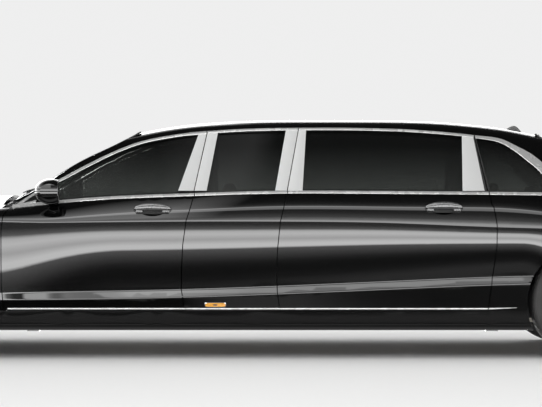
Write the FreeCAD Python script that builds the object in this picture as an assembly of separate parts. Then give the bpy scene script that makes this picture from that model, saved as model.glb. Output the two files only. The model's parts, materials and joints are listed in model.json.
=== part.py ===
import FreeCAD, Part
import math
import os

# Stretched four-door limousine at its real size, in millimetres.
# +X is forward, +Y is the car's left side, +Z is up. The origin is on the ground, under the middle of the car.
# The painted body comes from two lofts, the lower body and the greenhouse, and every panel is cut out of
# them by its own outline, so neighbouring panels share one surface and part along one shut line.

Vec = FreeCAD.Vector

# overall sizes
car_height = 1598.0
car_width = 1899.0
wheelbase = 4418.0
front_overhang = 913.0
rear_overhang = 1169.0

half_width = car_width / 2
car_length = front_overhang + wheelbase + rear_overhang
nose_x = car_length / 2
tail_x = -car_length / 2
front_axle_x = nose_x - front_overhang
rear_axle_x = front_axle_x - wheelbase

# wheels and arches
tyre_radius = 370.0
tyre_width = 245.0
tyre_shoulder = 34.0
rim_radius = 262.0
rim_lip = 14.0
rim_barrel_wall = 9.0
wheel_y = 806.0
arch_gap = 32.0
arch_radius = tyre_radius + arch_gap

# panels
shut_gap = 6.0
bonnet_ease = 2.4
lid_ease = 0.5
door_thickness = 130.0
frame_thickness = 55.0
roof_thickness = 42.0
fender_thickness = 34.0
quarter_thickness = 62.0
bonnet_thickness = 38.0
lid_thickness = 40.0
bumper_thickness = 70.0
glass_thickness = 6.0
glass_inset = 12.0
seat_gap = 0.3
overrun = 60.0
crumb = 2000.0
door_taper = 0.27

# heights of the sill
sill_bottom_z = 186.0
sill_top_z = 319.5
sill_round = 34.0
sill_inner_y = 770.0

# the lower body's section
catcher_height = 48.0
catcher_depth = 13.0
belt_ledge = 5.0
belt_overlap = 60.0

# the greenhouse's section
rail_drop = 55.0
rail_turn_drop = 17.0
roof_edge_in = 110.0
roof_edge_drop = 10.0
roof_crown_in = 225.0


def along(station):
    """x at a station: -1 nose, 0 front axle, 1 rear axle, 2 tail."""
    if station < 0:
        return front_axle_x - station * front_overhang
    if station <= 1:
        return front_axle_x - station * wheelbase
    return rear_axle_x - (station - 1) * rear_overhang


class Curve:
    """A natural cubic spline through (station share, value share) rows, times a size."""

    def __init__(self, rows, size):
        rows = sorted((along(s), v * size) for s, v in rows)
        self.xs = [r[0] for r in rows]
        self.vs = [r[1] for r in rows]
        n = len(rows)
        h = [self.xs[i + 1] - self.xs[i] for i in range(n - 1)]
        low, mid, up, right = [0.0] * n, [1.0] * n, [0.0] * n, [0.0] * n
        for i in range(1, n - 1):
            low[i], mid[i], up[i] = h[i - 1], 2 * (h[i - 1] + h[i]), h[i]
            right[i] = 6 * ((self.vs[i + 1] - self.vs[i]) / h[i] - (self.vs[i] - self.vs[i - 1]) / h[i - 1])
        for i in range(1, n):
            f = low[i] / mid[i - 1]
            mid[i] -= f * up[i - 1]
            right[i] -= f * right[i - 1]
        m = [0.0] * n
        for i in range(n - 1, -1, -1):
            m[i] = (right[i] - (up[i] * m[i + 1] if i < n - 1 else 0.0)) / mid[i]
        self.ms = m

    def __call__(self, x):
        xs, vs, ms = self.xs, self.vs, self.ms
        i = max(0, min(len(xs) - 2, sum(1 for k in xs if k <= x) - 1))
        h = xs[i + 1] - xs[i]
        if x < xs[0] or x > xs[-1]:
            edge = 0 if x < xs[0] else -1
            a, b = (1.0, 0.0) if x < xs[0] else (0.0, 1.0)
            slope = (vs[i + 1] - vs[i]) / h - h / 6 * ((2 * ms[i] + ms[i + 1]) * a - (ms[i] + 2 * ms[i + 1]) * b)
            return vs[edge] + slope * (x - xs[edge])
        a, b = (xs[i + 1] - x) / h, (x - xs[i]) / h
        return a * vs[i] + b * vs[i + 1] + ((a**3 - a) * ms[i] + (b**3 - b) * ms[i + 1]) * h * h / 6


def smooth(value, low, high):
    t = max(0.0, min(1.0, (value - low) / (high - low)))
    return t * t * (3 - 2 * t)


def station_of(x):
    """The inverse of along()."""
    if x > front_axle_x:
        return (front_axle_x - x) / front_overhang
    if x >= rear_axle_x:
        return (front_axle_x - x) / wheelbase
    return 1 + (rear_axle_x - x) / rear_overhang


# lengthwise curves of the lower body, each row a station and a share of the size named last
body_width_shares = [(-1, 0.885), (-0.8, 0.94), (-0.5, 0.973), (-0.2, 0.988), (0, 0.993), (0.15, 0.996),
                     (0.4, 1.0), (0.7, 1.0), (0.9, 0.998), (1, 0.996), (1.3, 0.984), (1.6, 0.957), (1.8, 0.928), (2, 0.885)]
shoulder_height_shares = [(-1, 0.478), (-0.6, 0.519), (-0.3, 0.544), (0, 0.561), (0.12, 0.5685), (0.39, 0.5745),
                          (0.55, 0.5742), (0.7, 0.5685), (0.85, 0.552), (1, 0.54), (1.3, 0.531), (2, 0.52)]
crease_height_shares = [(-1, 0.232), (0, 0.238), (0.13, 0.2441), (0.39, 0.2572), (0.533, 0.271), (0.73, 0.2947),
                        (0.856, 0.3091), (1, 0.318), (2, 0.33)]
edge_height_shares = [(-1, 0.46), (-0.85, 0.498), (-0.6, 0.541), (-0.3, 0.58), (0, 0.607), (0.13, 0.6283),
                      (0.219, 0.6514), (0.4, 0.6765), (0.52, 0.6865), (0.65, 0.6868), (0.845, 0.6827),
                      (1, 0.676), (1.3, 0.669), (1.7, 0.656), (2, 0.636)]
edge_width_shares = [(-1, 0.66), (-0.6, 0.752), (-0.3, 0.808), (0, 0.86), (0.13, 0.912), (0.25, 0.938), (0.4, 0.95),
                     (0.6, 0.953), (0.8, 0.948), (0.93, 0.936), (1.1, 0.9), (1.4, 0.865), (1.7, 0.825), (2, 0.76)]
centre_height_shares = [(-1, 0.528), (-0.85, 0.559), (-0.6, 0.594), (-0.3, 0.626), (0, 0.654), (0.1, 0.672),
                        (0.15, 0.683), (0.4, 0.688), (0.7, 0.69), (1, 0.7), (1.3, 0.7065), (1.6, 0.703), (1.85, 0.693), (2, 0.682)]
crown_height_shares = [(0, 0.8), (0.15, 0.858), (0.25, 0.904), (0.335, 0.955), (0.3741, 0.9737), (0.426, 0.9885),
                       (0.48, 0.9965), (0.55, 1.0), (0.65, 1.0), (0.73, 0.9982), (0.7825, 0.9925), (0.835, 0.9806),
                       (0.887, 0.9625), (0.9307, 0.938), (1, 0.892), (1.2, 0.822), (1.5, 0.72)]
rail_width_shares = [(0, 0.62), (0.15, 0.655), (0.35, 0.69), (0.5, 0.715), (0.65, 0.72), (0.8, 0.708), (0.93, 0.68),
                     (1.1, 0.635), (1.5, 0.55)]

body_width = Curve(body_width_shares, half_width)
shoulder_height = Curve(shoulder_height_shares, car_height)
crease_height = Curve(crease_height_shares, car_height)
edge_height = Curve(edge_height_shares, car_height)
edge_width = Curve(edge_width_shares, half_width)
centre_height = Curve(centre_height_shares, car_height)
crown_height = Curve(crown_height_shares, car_height)
rail_width = Curve(rail_width_shares, half_width)

# the lower section's widths, as shares of the body's half width there
sill_under_share, sill_corner_share, sill_face_share, sill_top_share, crease_share = 0.905, 0.962, 0.968, 0.974, 0.988
bulge_share, bulge_height_share = 1.004, 0.55
shoulder_over_share, shoulder_over_height_share = 0.992, 0.55
fender_round_share = 0.1


def bezier(points):
    curve = Part.BezierCurve()
    curve.setPoles([Vec(*p) for p in points])
    return curve.toShape()


def line(a, b):
    return Part.LineSegment(Vec(*a), Vec(*b)).toShape()


def lower_half_section(x, side_in=0.0, top_in=0.0):
    """The lower body's half section at x, from the bottom's middle to the top's middle, as point lists in (y, z).
    side_in and top_in move it inwards, to hollow a panel."""
    w, zs, zc = body_width(x), shoulder_height(x), crease_height(x)
    y6, z6, z7 = edge_width(x), edge_height(x), centre_height(x)
    s = station_of(x)
    depth = catcher_depth * smooth(s, 0.1, 0.3) * (1 - smooth(s, 0.9, 0.97))
    corner = (w * sill_face_share, sill_bottom_z + sill_round)
    sill_top = (w * sill_top_share, sill_top_z)
    crease = (w * crease_share, zc)
    catcher = (w * crease_share - depth, zc + catcher_height)
    shoulder = (w, zs)
    edge = (y6, z6)
    rise = (z7 - z6) / (y6 / 2)
    out = fender_round_share * half_width
    round_point = (y6 + out, z6 - out * rise)
    straight_point = (w * shoulder_over_share, zs + shoulder_over_height_share * (z6 - zs))
    blend = max(1 - smooth(s, 0.03, 0.2), smooth(s, 0.95, 1.25))
    over = tuple(blend * a + (1 - blend) * b for a, b in zip(round_point, straight_point))
    bulge = (w * bulge_share, catcher[1] + bulge_height_share * (zs - catcher[1]))
    under = (w * sill_under_share, sill_bottom_z)
    half = [[(0, sill_bottom_z), under],
            [under, (w * sill_corner_share, sill_bottom_z), corner],
            [corner, sill_top],
            [sill_top, crease],
            [crease, catcher],
            [catcher, bulge, shoulder],
            [shoulder, over, edge],
            [edge, (y6 / 2, z7), (0, z7)]]
    share = 1 - side_in / w
    return [[(y * share, z - top_in) for y, z in points] for points in half]


def cabin_half_section(x, side_in=0.0, top_in=0.0):
    """The greenhouse's section at x, from under the belt to the roof's middle, as point lists in (y, z)."""
    foot = edge_width(x) - belt_ledge - side_in
    belt = edge_height(x)
    crown = crown_height(x) - top_in
    rail = rail_width(x) - side_in
    side = (rail, crown - rail_drop)
    lean = (foot - rail) / (side[1] - belt)
    turn = (rail - lean * (rail_drop - rail_turn_drop), crown - rail_turn_drop)
    edge = (rail - roof_edge_in, crown - roof_edge_drop)
    crown_start = (rail - roof_crown_in, crown)
    base = belt - belt_overlap - side_in
    return [[(0, base), (foot, base)],
            [(foot, base), (foot, belt)],
            [(foot, belt), side],
            [side, turn, edge],
            [edge, crown_start, (0, crown)]]


def section_wire(x, half):
    edges = []
    for points in half:
        pts = [(x, y, z) for y, z in points]
        edges.append(line(*pts) if len(pts) == 2 else bezier(pts))
    for points in reversed(half):
        pts = [(x, -y, z) for y, z in reversed(points)]
        edges.append(line(*pts) if len(pts) == 2 else bezier(pts))
    return Part.Wire(edges)


def loft(wires, ruled=False):
    return Part.makeLoft(wires, True, ruled)


# stations of the sections that each loft goes through
lower_stations = [-1.06, -0.9, -0.72, -0.5, -0.25, 0, 0.06, 0.13, 0.2, 0.28, 0.36, 0.44, 0.52, 0.6, 0.68, 0.76,
                  0.84, 0.9, 0.945, 1, 1.15, 1.32, 1.5, 1.68, 1.85, 2.05]
cabin_stations = [0.04, 0.1, 0.16, 0.22, 0.28, 0.34, 0.4, 0.46, 0.52, 0.58, 0.64, 0.7, 0.76, 0.82, 0.88, 0.94, 1,
                  1.1, 1.2, 1.35, 1.5]

# plan and profile of the nose and tail, which close the lower body's ends
nose_depth = 420.0
tail_depth = 400.0
plan_power = 2.5
nose_profile_shares = [(0.094, 0.1), (0.188, 0.01), (0.3, 0), (0.4, 0.014), (0.5, 0.08), (0.563, 0.186), (0.626, 0.38),
                       (0.72, 0.79)]
tail_profile_shares = [(0.094, 0.24), (0.188, 0.055), (0.28, 0.005), (0.388, 0), (0.5, 0.05), (0.6, 0.13), (0.663, 0.165),
                       (0.751, 0.225)]
plan_shares = [-1.08, -0.98, -0.88, -0.76, -0.62, -0.45, -0.25, 0, 0.25, 0.45, 0.62, 0.76, 0.88, 0.98, 1.08]


def end_solid(tip_x, sign, depth, profile):
    """Everything behind the nose's, or before the tail's, curved face."""
    wires = []
    for z_share, back_share in profile:
        z, back = z_share * car_height, back_share * depth
        points = [Vec(tip_x - sign * (back + depth * abs(p) ** plan_power), p * half_width, z) for p in plan_shares]
        curve = Part.BSplineCurve()
        curve.interpolate(points)
        a, b = points[-1], points[0]
        far_x = -sign * overrun
        wires.append(Part.Wire([curve.toShape(), line(a, (far_x, a.y, z)), line((far_x, a.y, z), (far_x, b.y, z)),
                                line((far_x, b.y, z), b)]))
    return loft(wires)


# side profiles of the windscreen and the rear window on the centre line, as (station, share of the height)
windscreen_shares = [(0.075, 0.58), (0.107, 0.644), (0.141, 0.691), (0.2187, 0.8198), (0.2705, 0.888), (0.2963, 0.9237),
                     (0.325, 0.966), (0.36, 1.03)]
rear_window_shares = [(0.89, 1.03), (0.935, 0.9455), (0.985, 0.878), (1.12, 0.79), (1.34, 0.706), (1.45, 0.655)]
screen_bow = 62.0
rear_bow = 85.0
screen_bow_y = 740.0
bow_shares = [-1.25, -0.85, -0.45, 0, 0.45, 0.85, 1.25]


def screen_solid(shares, bow, sign):
    """Everything behind the windscreen's outer face, or before the rear window's."""
    wires = []
    back_x = -sign * overrun
    for p in bow_shares:
        y = p * screen_bow_y
        shift = -sign * bow * p * p
        points = [Vec(along(s) + shift, y, z * car_height) for s, z in shares]
        curve = Part.BSplineCurve()
        curve.interpolate(points)
        a, b = points[-1], points[0]
        wires.append(Part.Wire([curve.toShape(), line(a, (back_x, y, a.z)), line((back_x, y, a.z), (back_x, y, b.z)),
                                line((back_x, y, b.z), b)]))
    return loft(wires)


# small tools for solids
def box(x0, x1, y0, y1, z0, z1):
    return Part.makeBox(abs(x1 - x0), abs(y1 - y0), abs(z1 - z0), Vec(min(x0, x1), min(y0, y1), min(z0, z1)))


def moved(shape, x=0.0, y=0.0, z=0.0):
    copy = shape.copy()
    copy.translate(Vec(x, y, z))
    return copy


def turned(shape, centre, axis, angle):
    copy = shape.copy()
    copy.rotate(Vec(*centre), Vec(*axis), angle)
    return copy


def mirrored(shape):
    return shape.mirror(Vec(0, 0, 0), Vec(0, 1, 0))


def rod(radius, start, end):
    axis = Vec(*end) - Vec(*start)
    return Part.makeCylinder(radius, axis.Length, Vec(*start), axis)


def fused(shapes):
    first = shapes[0]
    return first.fuse(shapes[1:]).removeSplitter() if len(shapes) > 1 else first


def cut(shape, *others):
    for other in others:
        shape = shape.cut(other)
    return shape


def solids(shape, least=0.0):
    """The solids of a boolean's result, without the crumbs under a given volume."""
    found = [s for s in shape.Solids if s.Volume > least]
    return found[0] if len(found) == 1 else Part.makeCompound(found)


def skin_y(x, z):
    """The body side's y at a side-view point, read between the section's corners."""
    w, rail, crown = body_width(x), rail_width(x), crown_height(x)
    rows = [(sill_bottom_z, w * sill_face_share), (crease_height(x), w * crease_share), (shoulder_height(x), w),
            (edge_height(x), edge_width(x)), (crown - rail_drop, rail), (crown, rail - roof_edge_in)]
    for (z0, y0), (z1, y1) in zip(rows, rows[1:]):
        if z <= z1:
            return y0 + (y1 - y0) * max(0.0, z - z0) / (z1 - z0)
    return rows[-1][1]


def side_prism(outline, y0, y1, taper_behind=None, taper=0.0):
    """A side-view outline of (x, z) corners, run from y0 to y1. Where taper_behind is given, the corners behind
    that x lie on the outline at the skin and move forward by taper times the depth under it."""
    def wire(y):
        pts = []
        for x, z in outline:
            shift = taper * (skin_y(x, z) - y) if taper_behind is not None and x < taper_behind else 0.0
            pts.append(Vec(x + shift, y, z))
        return Part.makePolygon(pts + [pts[0]])
    return loft([wire(y0), wire(y1)], True)


def front_prism(outline, x0, x1):
    """A front-view outline of (y, z) corners, run from x0 to x1."""
    pts = [Vec(x0, y, z) for y, z in outline]
    return Part.Face(Part.makePolygon(pts + [pts[0]])).extrude(Vec(x1 - x0, 0, 0))


def plan_prism(outline, z0, z1):
    """A plan outline of (x, y) corners, run from z0 to z1."""
    pts = [Vec(x, y, z0) for x, y in outline]
    return Part.Face(Part.makePolygon(pts + [pts[0]])).extrude(Vec(0, 0, z1 - z0))


def both_sides(half):
    """A closed plan outline of (x, y) corners from its left half."""
    return half + [(x, -y) for x, y in reversed(half) if y != 0]


def front_both_sides(half):
    """A closed front outline of (y, z) corners from its left half."""
    return half + [(-y, z) for y, z in reversed(half) if y != 0]


def grown(outline, distance):
    """A polygon with every side moved outwards by distance, inwards where it is negative."""
    n = len(outline)
    area = sum(outline[i][0] * outline[(i + 1) % n][1] - outline[(i + 1) % n][0] * outline[i][1] for i in range(n))
    sign = 1 if area > 0 else -1
    result = []
    for i in range(n):
        (ax, az), (bx, bz), (cx, cz) = outline[i - 1], outline[i], outline[(i + 1) % n]
        d1 = math.hypot(bx - ax, bz - az)
        d2 = math.hypot(cx - bx, cz - bz)
        n1 = (sign * (bz - az) / d1, -sign * (bx - ax) / d1)
        n2 = (sign * (cz - bz) / d2, -sign * (cx - bx) / d2)
        k = distance / (1 + n1[0] * n2[0] + n1[1] * n2[1])
        result.append((bx + k * (n1[0] + n2[0]), bz + k * (n1[1] + n2[1])))
    return result


def strip(path, thickness):
    """A polyline of (x, z) points made into a closed outline of that thickness, on its left side."""
    offset = []
    for i, (x, z) in enumerate(path):
        normals = []
        if i > 0:
            dx, dz = x - path[i - 1][0], z - path[i - 1][1]
            normals.append((-dz / math.hypot(dx, dz), dx / math.hypot(dx, dz)))
        if i < len(path) - 1:
            dx, dz = path[i + 1][0] - x, path[i + 1][1] - z
            normals.append((-dz / math.hypot(dx, dz), dx / math.hypot(dx, dz)))
        nx = sum(n[0] for n in normals)
        nz = sum(n[1] for n in normals)
        k = thickness * len(normals) / (nx * nx + nz * nz)
        offset.append((x + k * nx, z + k * nz))
    return path + offset[::-1]


def placed(shares):
    """Side-view points from (station, share of the height) rows."""
    return [(along(s), z * car_height) for s, z in shares]


def plan_placed(shares):
    """Plan points from (station, share of the half width) rows."""
    return [(along(s), y * half_width) for s, y in shares]


def front_placed(shares):
    """Front-view points from (share of the half width, share of the height) rows."""
    return [(y * half_width, z * car_height) for y, z in shares]


# side-view lines that the panels share, as (station, share of the height)
front_door_front_shares = [(0.1202, 0.2015), (0.1166, 0.3), (0.1163, 0.4), (0.1163, 0.53), (0.1185, 0.588),
                           (0.124, 0.617), (0.1315, 0.6345)]
front_door_top_shares = [(0.1691, 0.7035), (0.2057, 0.7565), (0.2375, 0.804), (0.2705, 0.8492), (0.2975, 0.8815),
                         (0.3223, 0.906), (0.3485, 0.924), (0.3741, 0.9359), (0.4, 0.9445), (0.4248, 0.9505)]
front_mid_shares = [(0.4065, 0.6853), (0.395, 0.5763), (0.3898, 0.475), (0.3884, 0.38), (0.3884, 0.29),
                    (0.3898, 0.2534), (0.3925, 0.2015)]
mid_top_shares = [(0.47, 0.9585), (0.52, 0.963)]
mid_rear_shares = [(0.5645, 0.9645), (0.5473, 0.6952), (0.5434, 0.6452), (0.5371, 0.5726), (0.533, 0.4643),
                   (0.5313, 0.356), (0.5324, 0.2766), (0.5362, 0.2015)]
rear_door_top_shares = [(0.61, 0.965), (0.6519, 0.964), (0.7, 0.961), (0.7304, 0.9582), (0.7825, 0.948),
                        (0.8151, 0.9395), (0.8338, 0.9335)]
rear_door_back_shares = [(0.852, 0.6946), (0.8556, 0.6414), (0.8583, 0.6302), (0.8632, 0.5582), (0.863, 0.4643),
                         (0.8583, 0.356), (0.8556, 0.3091), (0.85, 0.2015)]

front_door_outline = (placed(front_door_front_shares) + placed(front_door_top_shares) + placed(front_mid_shares))
mid_outline = (placed(front_door_top_shares[-1:]) + placed(mid_top_shares) + placed(mid_rear_shares)
               + placed(front_mid_shares)[::-1])
rear_door_outline = placed(rear_door_top_shares) + placed(rear_door_back_shares) + placed(mid_rear_shares)[::-1]

# window openings
front_window_shares = [(0.171, 0.66), (0.2187, 0.6665), (0.31, 0.6785), (0.3825, 0.688), (0.4115, 0.9345),
                       (0.3741, 0.9195), (0.3485, 0.907), (0.3223, 0.889), (0.2975, 0.8645), (0.2705, 0.832),
                       (0.2375, 0.787), (0.2057, 0.74), (0.171, 0.688)]
mid_window_shares = [(0.4255, 0.6935), (0.5292, 0.6965), (0.5455, 0.949), (0.49, 0.9455), (0.4422, 0.939)]
rear_door_window_shares = [(0.5705, 0.6965), (0.7, 0.6965), (0.8125, 0.695), (0.8148, 0.923), (0.7825, 0.932),
                           (0.7304, 0.9425), (0.65, 0.948), (0.5765, 0.949)]
quarter_window_shares = [(0.8505, 0.694), (0.9, 0.693), (0.958, 0.691), (0.9307, 0.782), (0.9155, 0.82),
                         (0.8925, 0.871), (0.8694, 0.905), (0.8355, 0.921)]

# doors turn on upright axes near their front edge
leaf_height = 80.0
leaf_depth = 60.0
leaf_in = 120.0
leaf_low_share, leaf_high_share = 0.3, 0.53

# plan outlines of the bonnet, the boot lid and the roof panel, as (station, share of the half width)
bonnet_shares = [(-1.04, 0), (-1.03, 0.25), (-1.0, 0.45), (-0.88, 0.585), (-0.6, 0.69), (-0.3, 0.765), (0, 0.805),
                 (0.1155, 0.775), (0.1155, 0.25), (0.1155, 0)]
lid_shares = [(1.352, 0), (1.352, 0.35), (1.345, 0.655), (1.55, 0.645), (1.7, 0.63), (2.1, 0.63), (2.1, 0)]
roof_shares = [(0.31, 0), (0.314, 0.35), (0.322, 0.598), (0.4, 0.625), (0.52, 0.645), (0.65, 0.652), (0.8, 0.64),
               (0.93, 0.61), (0.942, 0.35), (0.946, 0)]
bonnet_side_shares = [(-1.2, 0.75), (-1.2, 0.525), (0.2, 0.525), (0.2, 0.75)]
bonnet_floor_share = 0.45
lid_floor_share = 0.415

# where the bumpers part from the wings, as side-view shares
front_bumper_shares = [(-0.33, 0.08), (-0.37, 0.357), (-0.55, 0.402), (-1.2, 0.402), (-1.2, 0.08)]
rear_bumper_shares = [(1.28, 0.08), (1.31, 0.357), (1.5, 0.405), (2.2, 0.405), (2.2, 0.08)]
fascia_shares = [(-0.6, 0.38), (-0.6, 0.519), (-1.2, 0.519), (-1.2, 0.38)]
fascia_half_share = 0.45
headlamp_shares = [(0.456, 0.4075), (0.456, 0.5), (0.6, 0.514), (0.8, 0.517), (0.97, 0.5), (0.97, 0.4075)]
headlamp_back_share = -0.58
headlamp_depth = 120.0
grille_shares = [(0, 0.3), (0.34, 0.3), (0.385, 0.325), (0.385, 0.485), (0.35, 0.51), (0, 0.514)]
tail_lamp_shares = [(0.62, 0.47), (0.62, 0.575), (0.97, 0.58), (0.97, 0.5), (0.9, 0.47)]
tail_lamp_back_share = 1.72
tail_lamp_depth = 90.0
grille_bars = 9
grille_bar_height = 9.0
grille_bar_depth = 26.0
grille_frame = 22.0
grille_inset = 8.0
intake_shares = [(0.5, 0.2), (0.5, 0.285), (0.86, 0.3), (0.86, 0.22)]
centre_intake_shares = [(0, 0.17), (0.4, 0.17), (0.43, 0.265), (0, 0.265)]

# under the skin
a_post_front, a_post_length = 12.0, 34.0
floor_thickness = 26.0
floor_shares = [(0.088, 0.6), (0.103, 0.3), (0.128, 0.158), (0.84, 0.158), (0.865, 0.265), (0.9, 0.315),
                (1.42, 0.315), (1.45, 0.27), (1.975, 0.27)]
liner_inner_y = 478.0
liner_wall = 8.0

# jacking pads under the sills
jack_shares = [0.1625, 0.8575]
jack_y, jack_length, jack_width, jack_height, jack_root = 815.0, 80.0, 56.0, 8.0, 12.0

# where the big zones of the body are parted
left_share = 0.3
front_zone_share, rear_zone_share = 0.155, 0.845
front_zone_x = along(front_zone_share)
rear_zone_x = along(rear_zone_share)
side_stations = [0.08, 0.13, 0.18, 0.23, 0.28, 0.33, 0.38, 0.44, 0.5, 0.56, 0.62, 0.68, 0.74, 0.8, 0.86, 0.92, 0.98]
door_top_drop = 8.0
front_split_share, rear_split_share = 0.3, 0.7
mid_overlap = 12.0
mid_front_share, mid_back_share = 0.36, 0.6
mid_roof_shares = [(0.4248, 0.9505), (0.47, 0.9585), (0.52, 0.963), (0.5645, 0.9645), (0.6, 0.9645), (0.6, 0.1),
                   (0.35, 0.1), (0.35, 0.93)]
rail_zone_shares = [(0.1, 0.66), (0.1, 1.05), (1.5, 1.05), (1.5, 0.66), (0.86, 0.68), (0.5, 0.8), (0.2, 0.66)]
roof_low_share, glass_low_share = 0.75, 0.6

# screens, cowl and lid ledges
glass_sunk = 5.0
cowl_gap = 14.0
cowl_thickness = 47.0
glass_bed = 2.0
ledge_gap = 10.0
ledge_width = 38.0
ledge_thickness = 28.0
lid_stop_shares = [1.42, 1.75]
lid_stop_y = 596.0
grille_back_share = -0.82
intake_back_share = -0.6
lamp_side_depth = 60.0
grille_frame_depth = 60.0
grille_bar_inset = 16.0
wing_in_share = 0.008
a_post_depth, a_post_out = 185.0, 90.0
post_top_share = 0.585
sill_back_share, sill_front_share = 0.905, 0.1157
windscreen_plan_shares = [(0.1265, 0), (0.1275, 0.45), (0.131, 0.785), (0.19, 0.69), (0.27, 0.652), (0.32, 0.618), (0.32, 0)]
back_plan_shares = [(0.93, 0), (0.93, 0.59), (1.1, 0.67), (1.285, 0.755), (1.31, 0.74), (1.318, 0.4), (1.32, 0)]
wing_shares = [(0.1157, 0.08), (0.1157, 0.205), (0.135, 0.21), (0.14, 0.62), (0.1275, 0.634), (0.1125, 0.7),
               (-1.2, 0.7), (-1.2, 0.4), (-0.33, 0.3), (-0.33, 0.08)]
# exhaust, mirrors and handles
tip_shares = [(0.42, 0.13), (0.6, 0.13), (0.59, 0.172), (0.43, 0.172)]
tip_sunk = 4.0
pipe_radius, pipe_y = 28.0, 150.0
pipe_start_share, silencer_front_share, silencer_back_share = 0.155, 1.42, 1.76
silencer_inner_y, silencer_outer_y, silencer_height, silencer_edge = 120.0, 600.0, 130.0, 40.0
handle_length, handle_height, handle_out, handle_wall, handle_foot = 250.0, 34.0, 40.0, 16.0, 44.0
front_handle_share, rear_handle_share = 0.3443, 0.7834
front_handle_z_share, rear_handle_z_share = 0.6227, 0.629
mirror_x, mirror_z = 1484.0, 1114.0
mirror_length, mirror_height, mirror_reach = 207.0, 168.0, 235.0
mirror_foot_y, mirror_foot_size, mirror_foot_drop, mirror_foot_share = 858.0, 70.0, 38.0, 0.5
mirror_section_shares = [(0.1, 0.36), (0.22, 0.72), (0.42, 0.96), (0.7, 1.0), (0.9, 0.86), (1.0, 0.6)]
mirror_back_share = 0.26

# cowl, shelf, floor and wheel housings
cowl_shares = [(0.11, 0), (0.11, 0.84), (0.16, 0.84), (0.155, 0.4), (0.145, 0)]
shelf_shares = [(0.945, 0), (0.945, 0.79), (1.25, 0.79), (1.33, 0.72), (1.38, 0.66), (1.38, 0)]
lip_height = 34.0
liner_radius, rear_liner_radius = 440.0, 436.0
rear_liner_y = 640.0
liner_low_share = 0.16
liner_gap = 0.8

# engine bay and running gear
engine_length, engine_width, engine_height = 760.0, 560.0, 480.0
engine_back_share = 0.42
rail_inner_y, rail_outer_y, rail_height = 330.0, 430.0, 56.0
rail_back_share = 0.15
tower_radius = 32.0
gearcase_radius = 118.0
radiator_x, radiator_depth, radiator_width, radiator_height = 2960.0, 60.0, 720.0, 420.0
stop_radius = 14.0
bonnet_stop_y = 300.0
subframe_length, subframe_half_width, subframe_height = 260.0, 440.0, 96.0
rear_frame_length, rear_frame_half_width, rear_frame_height = 420.0, 520.0, 60.0

# wheels, brakes and hub carriers
tyre_bead_half = 112.0
tyre_side_rise = 40.0
tyre_side_in = 4.0
tyre_crown_drop = 8.0
tyre_flat = 150.0
hub_radius = 72.0
hub_back = 40.0
hub_sunk = 34.0
hub_proud = 5.0
bell_radius = 66.0
spoke_count = 10
spoke_root_width, spoke_tip_width, spoke_thickness = 40.0, 26.0, 24.0
spoke_tip_sunk = 6.0
spoke_root_share = 0.8
disc_radius, disc_thickness, disc_in = 185.0, 32.0, 6.0
carrier_radius, carrier_width, carrier_gap = 70.0, 60.0, 6.0
carrier_arm, carrier_low, carrier_high = 70.0, 120.0, 200.0
pad_depth, pad_over, pad_wall, pad_height = 60.0, 26.0, 28.0, 190.0
arm_height, arm_spread, arm_width, arm_boss = 44.0, 240.0, 46.0, 27.0
axle_slot_z = 460.0
bearing_radius = 48.0
kingpin_y = 735.0

# cabin furniture
seat_width, seat_length, seat_thickness = 540.0, 520.0, 150.0
seat_back_height, seat_back_thickness, seat_lean = 620.0, 130.0, 13.0
seat_base_z = 400.0
seat_y = 375.0
seat_base_width = 420.0
front_seat_x, rear_seat_x, facing_seat_x = 1075.0, -1010.0, -175.0
headrest_width, headrest_height, headrest_thickness = 270.0, 170.0, 90.0
headrest_gap, headrest_stem = 26.0, 7.0
headrest_stem_y = 60.0
seat_edge = 45.0
dash_shares = [(0.09, 0.47), (0.09, 0.585), (0.15, 0.6), (0.185, 0.618), (0.2, 0.606), (0.198, 0.55), (0.175, 0.43)]
dash_half_width = 725.0
partition_x, partition_thickness = 412.0, 36.0
partition_shares = [(0, 0.1), (0.795, 0.1), (0.795, 0.655), (0.66, 0.9), (0, 0.91)]
partition_window_shares = [(-0.6, 0.68), (-0.55, 0.86), (0.55, 0.86), (0.6, 0.68)]
wheel_rim_radius, wheel_grip_radius, wheel_pad_radius, wheel_pad_depth = 185.0, 15.0, 70.0, 40.0
steering_x, steering_y, steering_z, steering_tilt = 1370.0, 375.0, 930.0, 24.0
steering_spoke = 26.0
column_radius, column_length = 34.0, 220.0

parts = {}


def keep(name, shape):
    parts[name] = shape


def both(name, shape):
    keep(name + "_left", shape)
    keep(name + "_right", mirrored(shape))


def doubled(shape):
    """A left-hand shape with its right-hand copy."""
    return shape.fuse(mirrored(shape))


def sections(stations, half_section, *insets):
    return loft([section_wire(along(s), half_section(along(s), *insets)) for s in stations])


half_gap = shut_gap / 2
left_y = left_share * half_width
far_y = half_width + overrun
far_x = nose_x + overrun
top_z = car_height + overrun
low_z = sill_bottom_z - overrun

# the lower body and the greenhouse, whole and hollowed
lower_loft = sections(lower_stations, lower_half_section)
nose = end_solid(nose_x, 1, nose_depth, nose_profile_shares)
tail = end_solid(tail_x, -1, tail_depth, tail_profile_shares)
front_zone = box(front_zone_x, far_x, -far_y, far_y, low_z, top_z)
rear_zone = box(-far_x, rear_zone_x, -far_y, far_y, low_z, top_z)
front_lower = lower_loft.common(front_zone).common(nose)
rear_lower = lower_loft.common(rear_zone).common(tail)
front_core = sections(lower_stations, lower_half_section, fender_thickness, bonnet_thickness).common(
    end_solid(nose_x - bumper_thickness, 1, nose_depth, nose_profile_shares))
rear_core = sections(lower_stations, lower_half_section, quarter_thickness, lid_thickness).common(
    end_solid(tail_x + bumper_thickness, -1, tail_depth, tail_profile_shares))
front_shell = front_lower.cut(front_core)
rear_shell = rear_lower.cut(rear_core)

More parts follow.
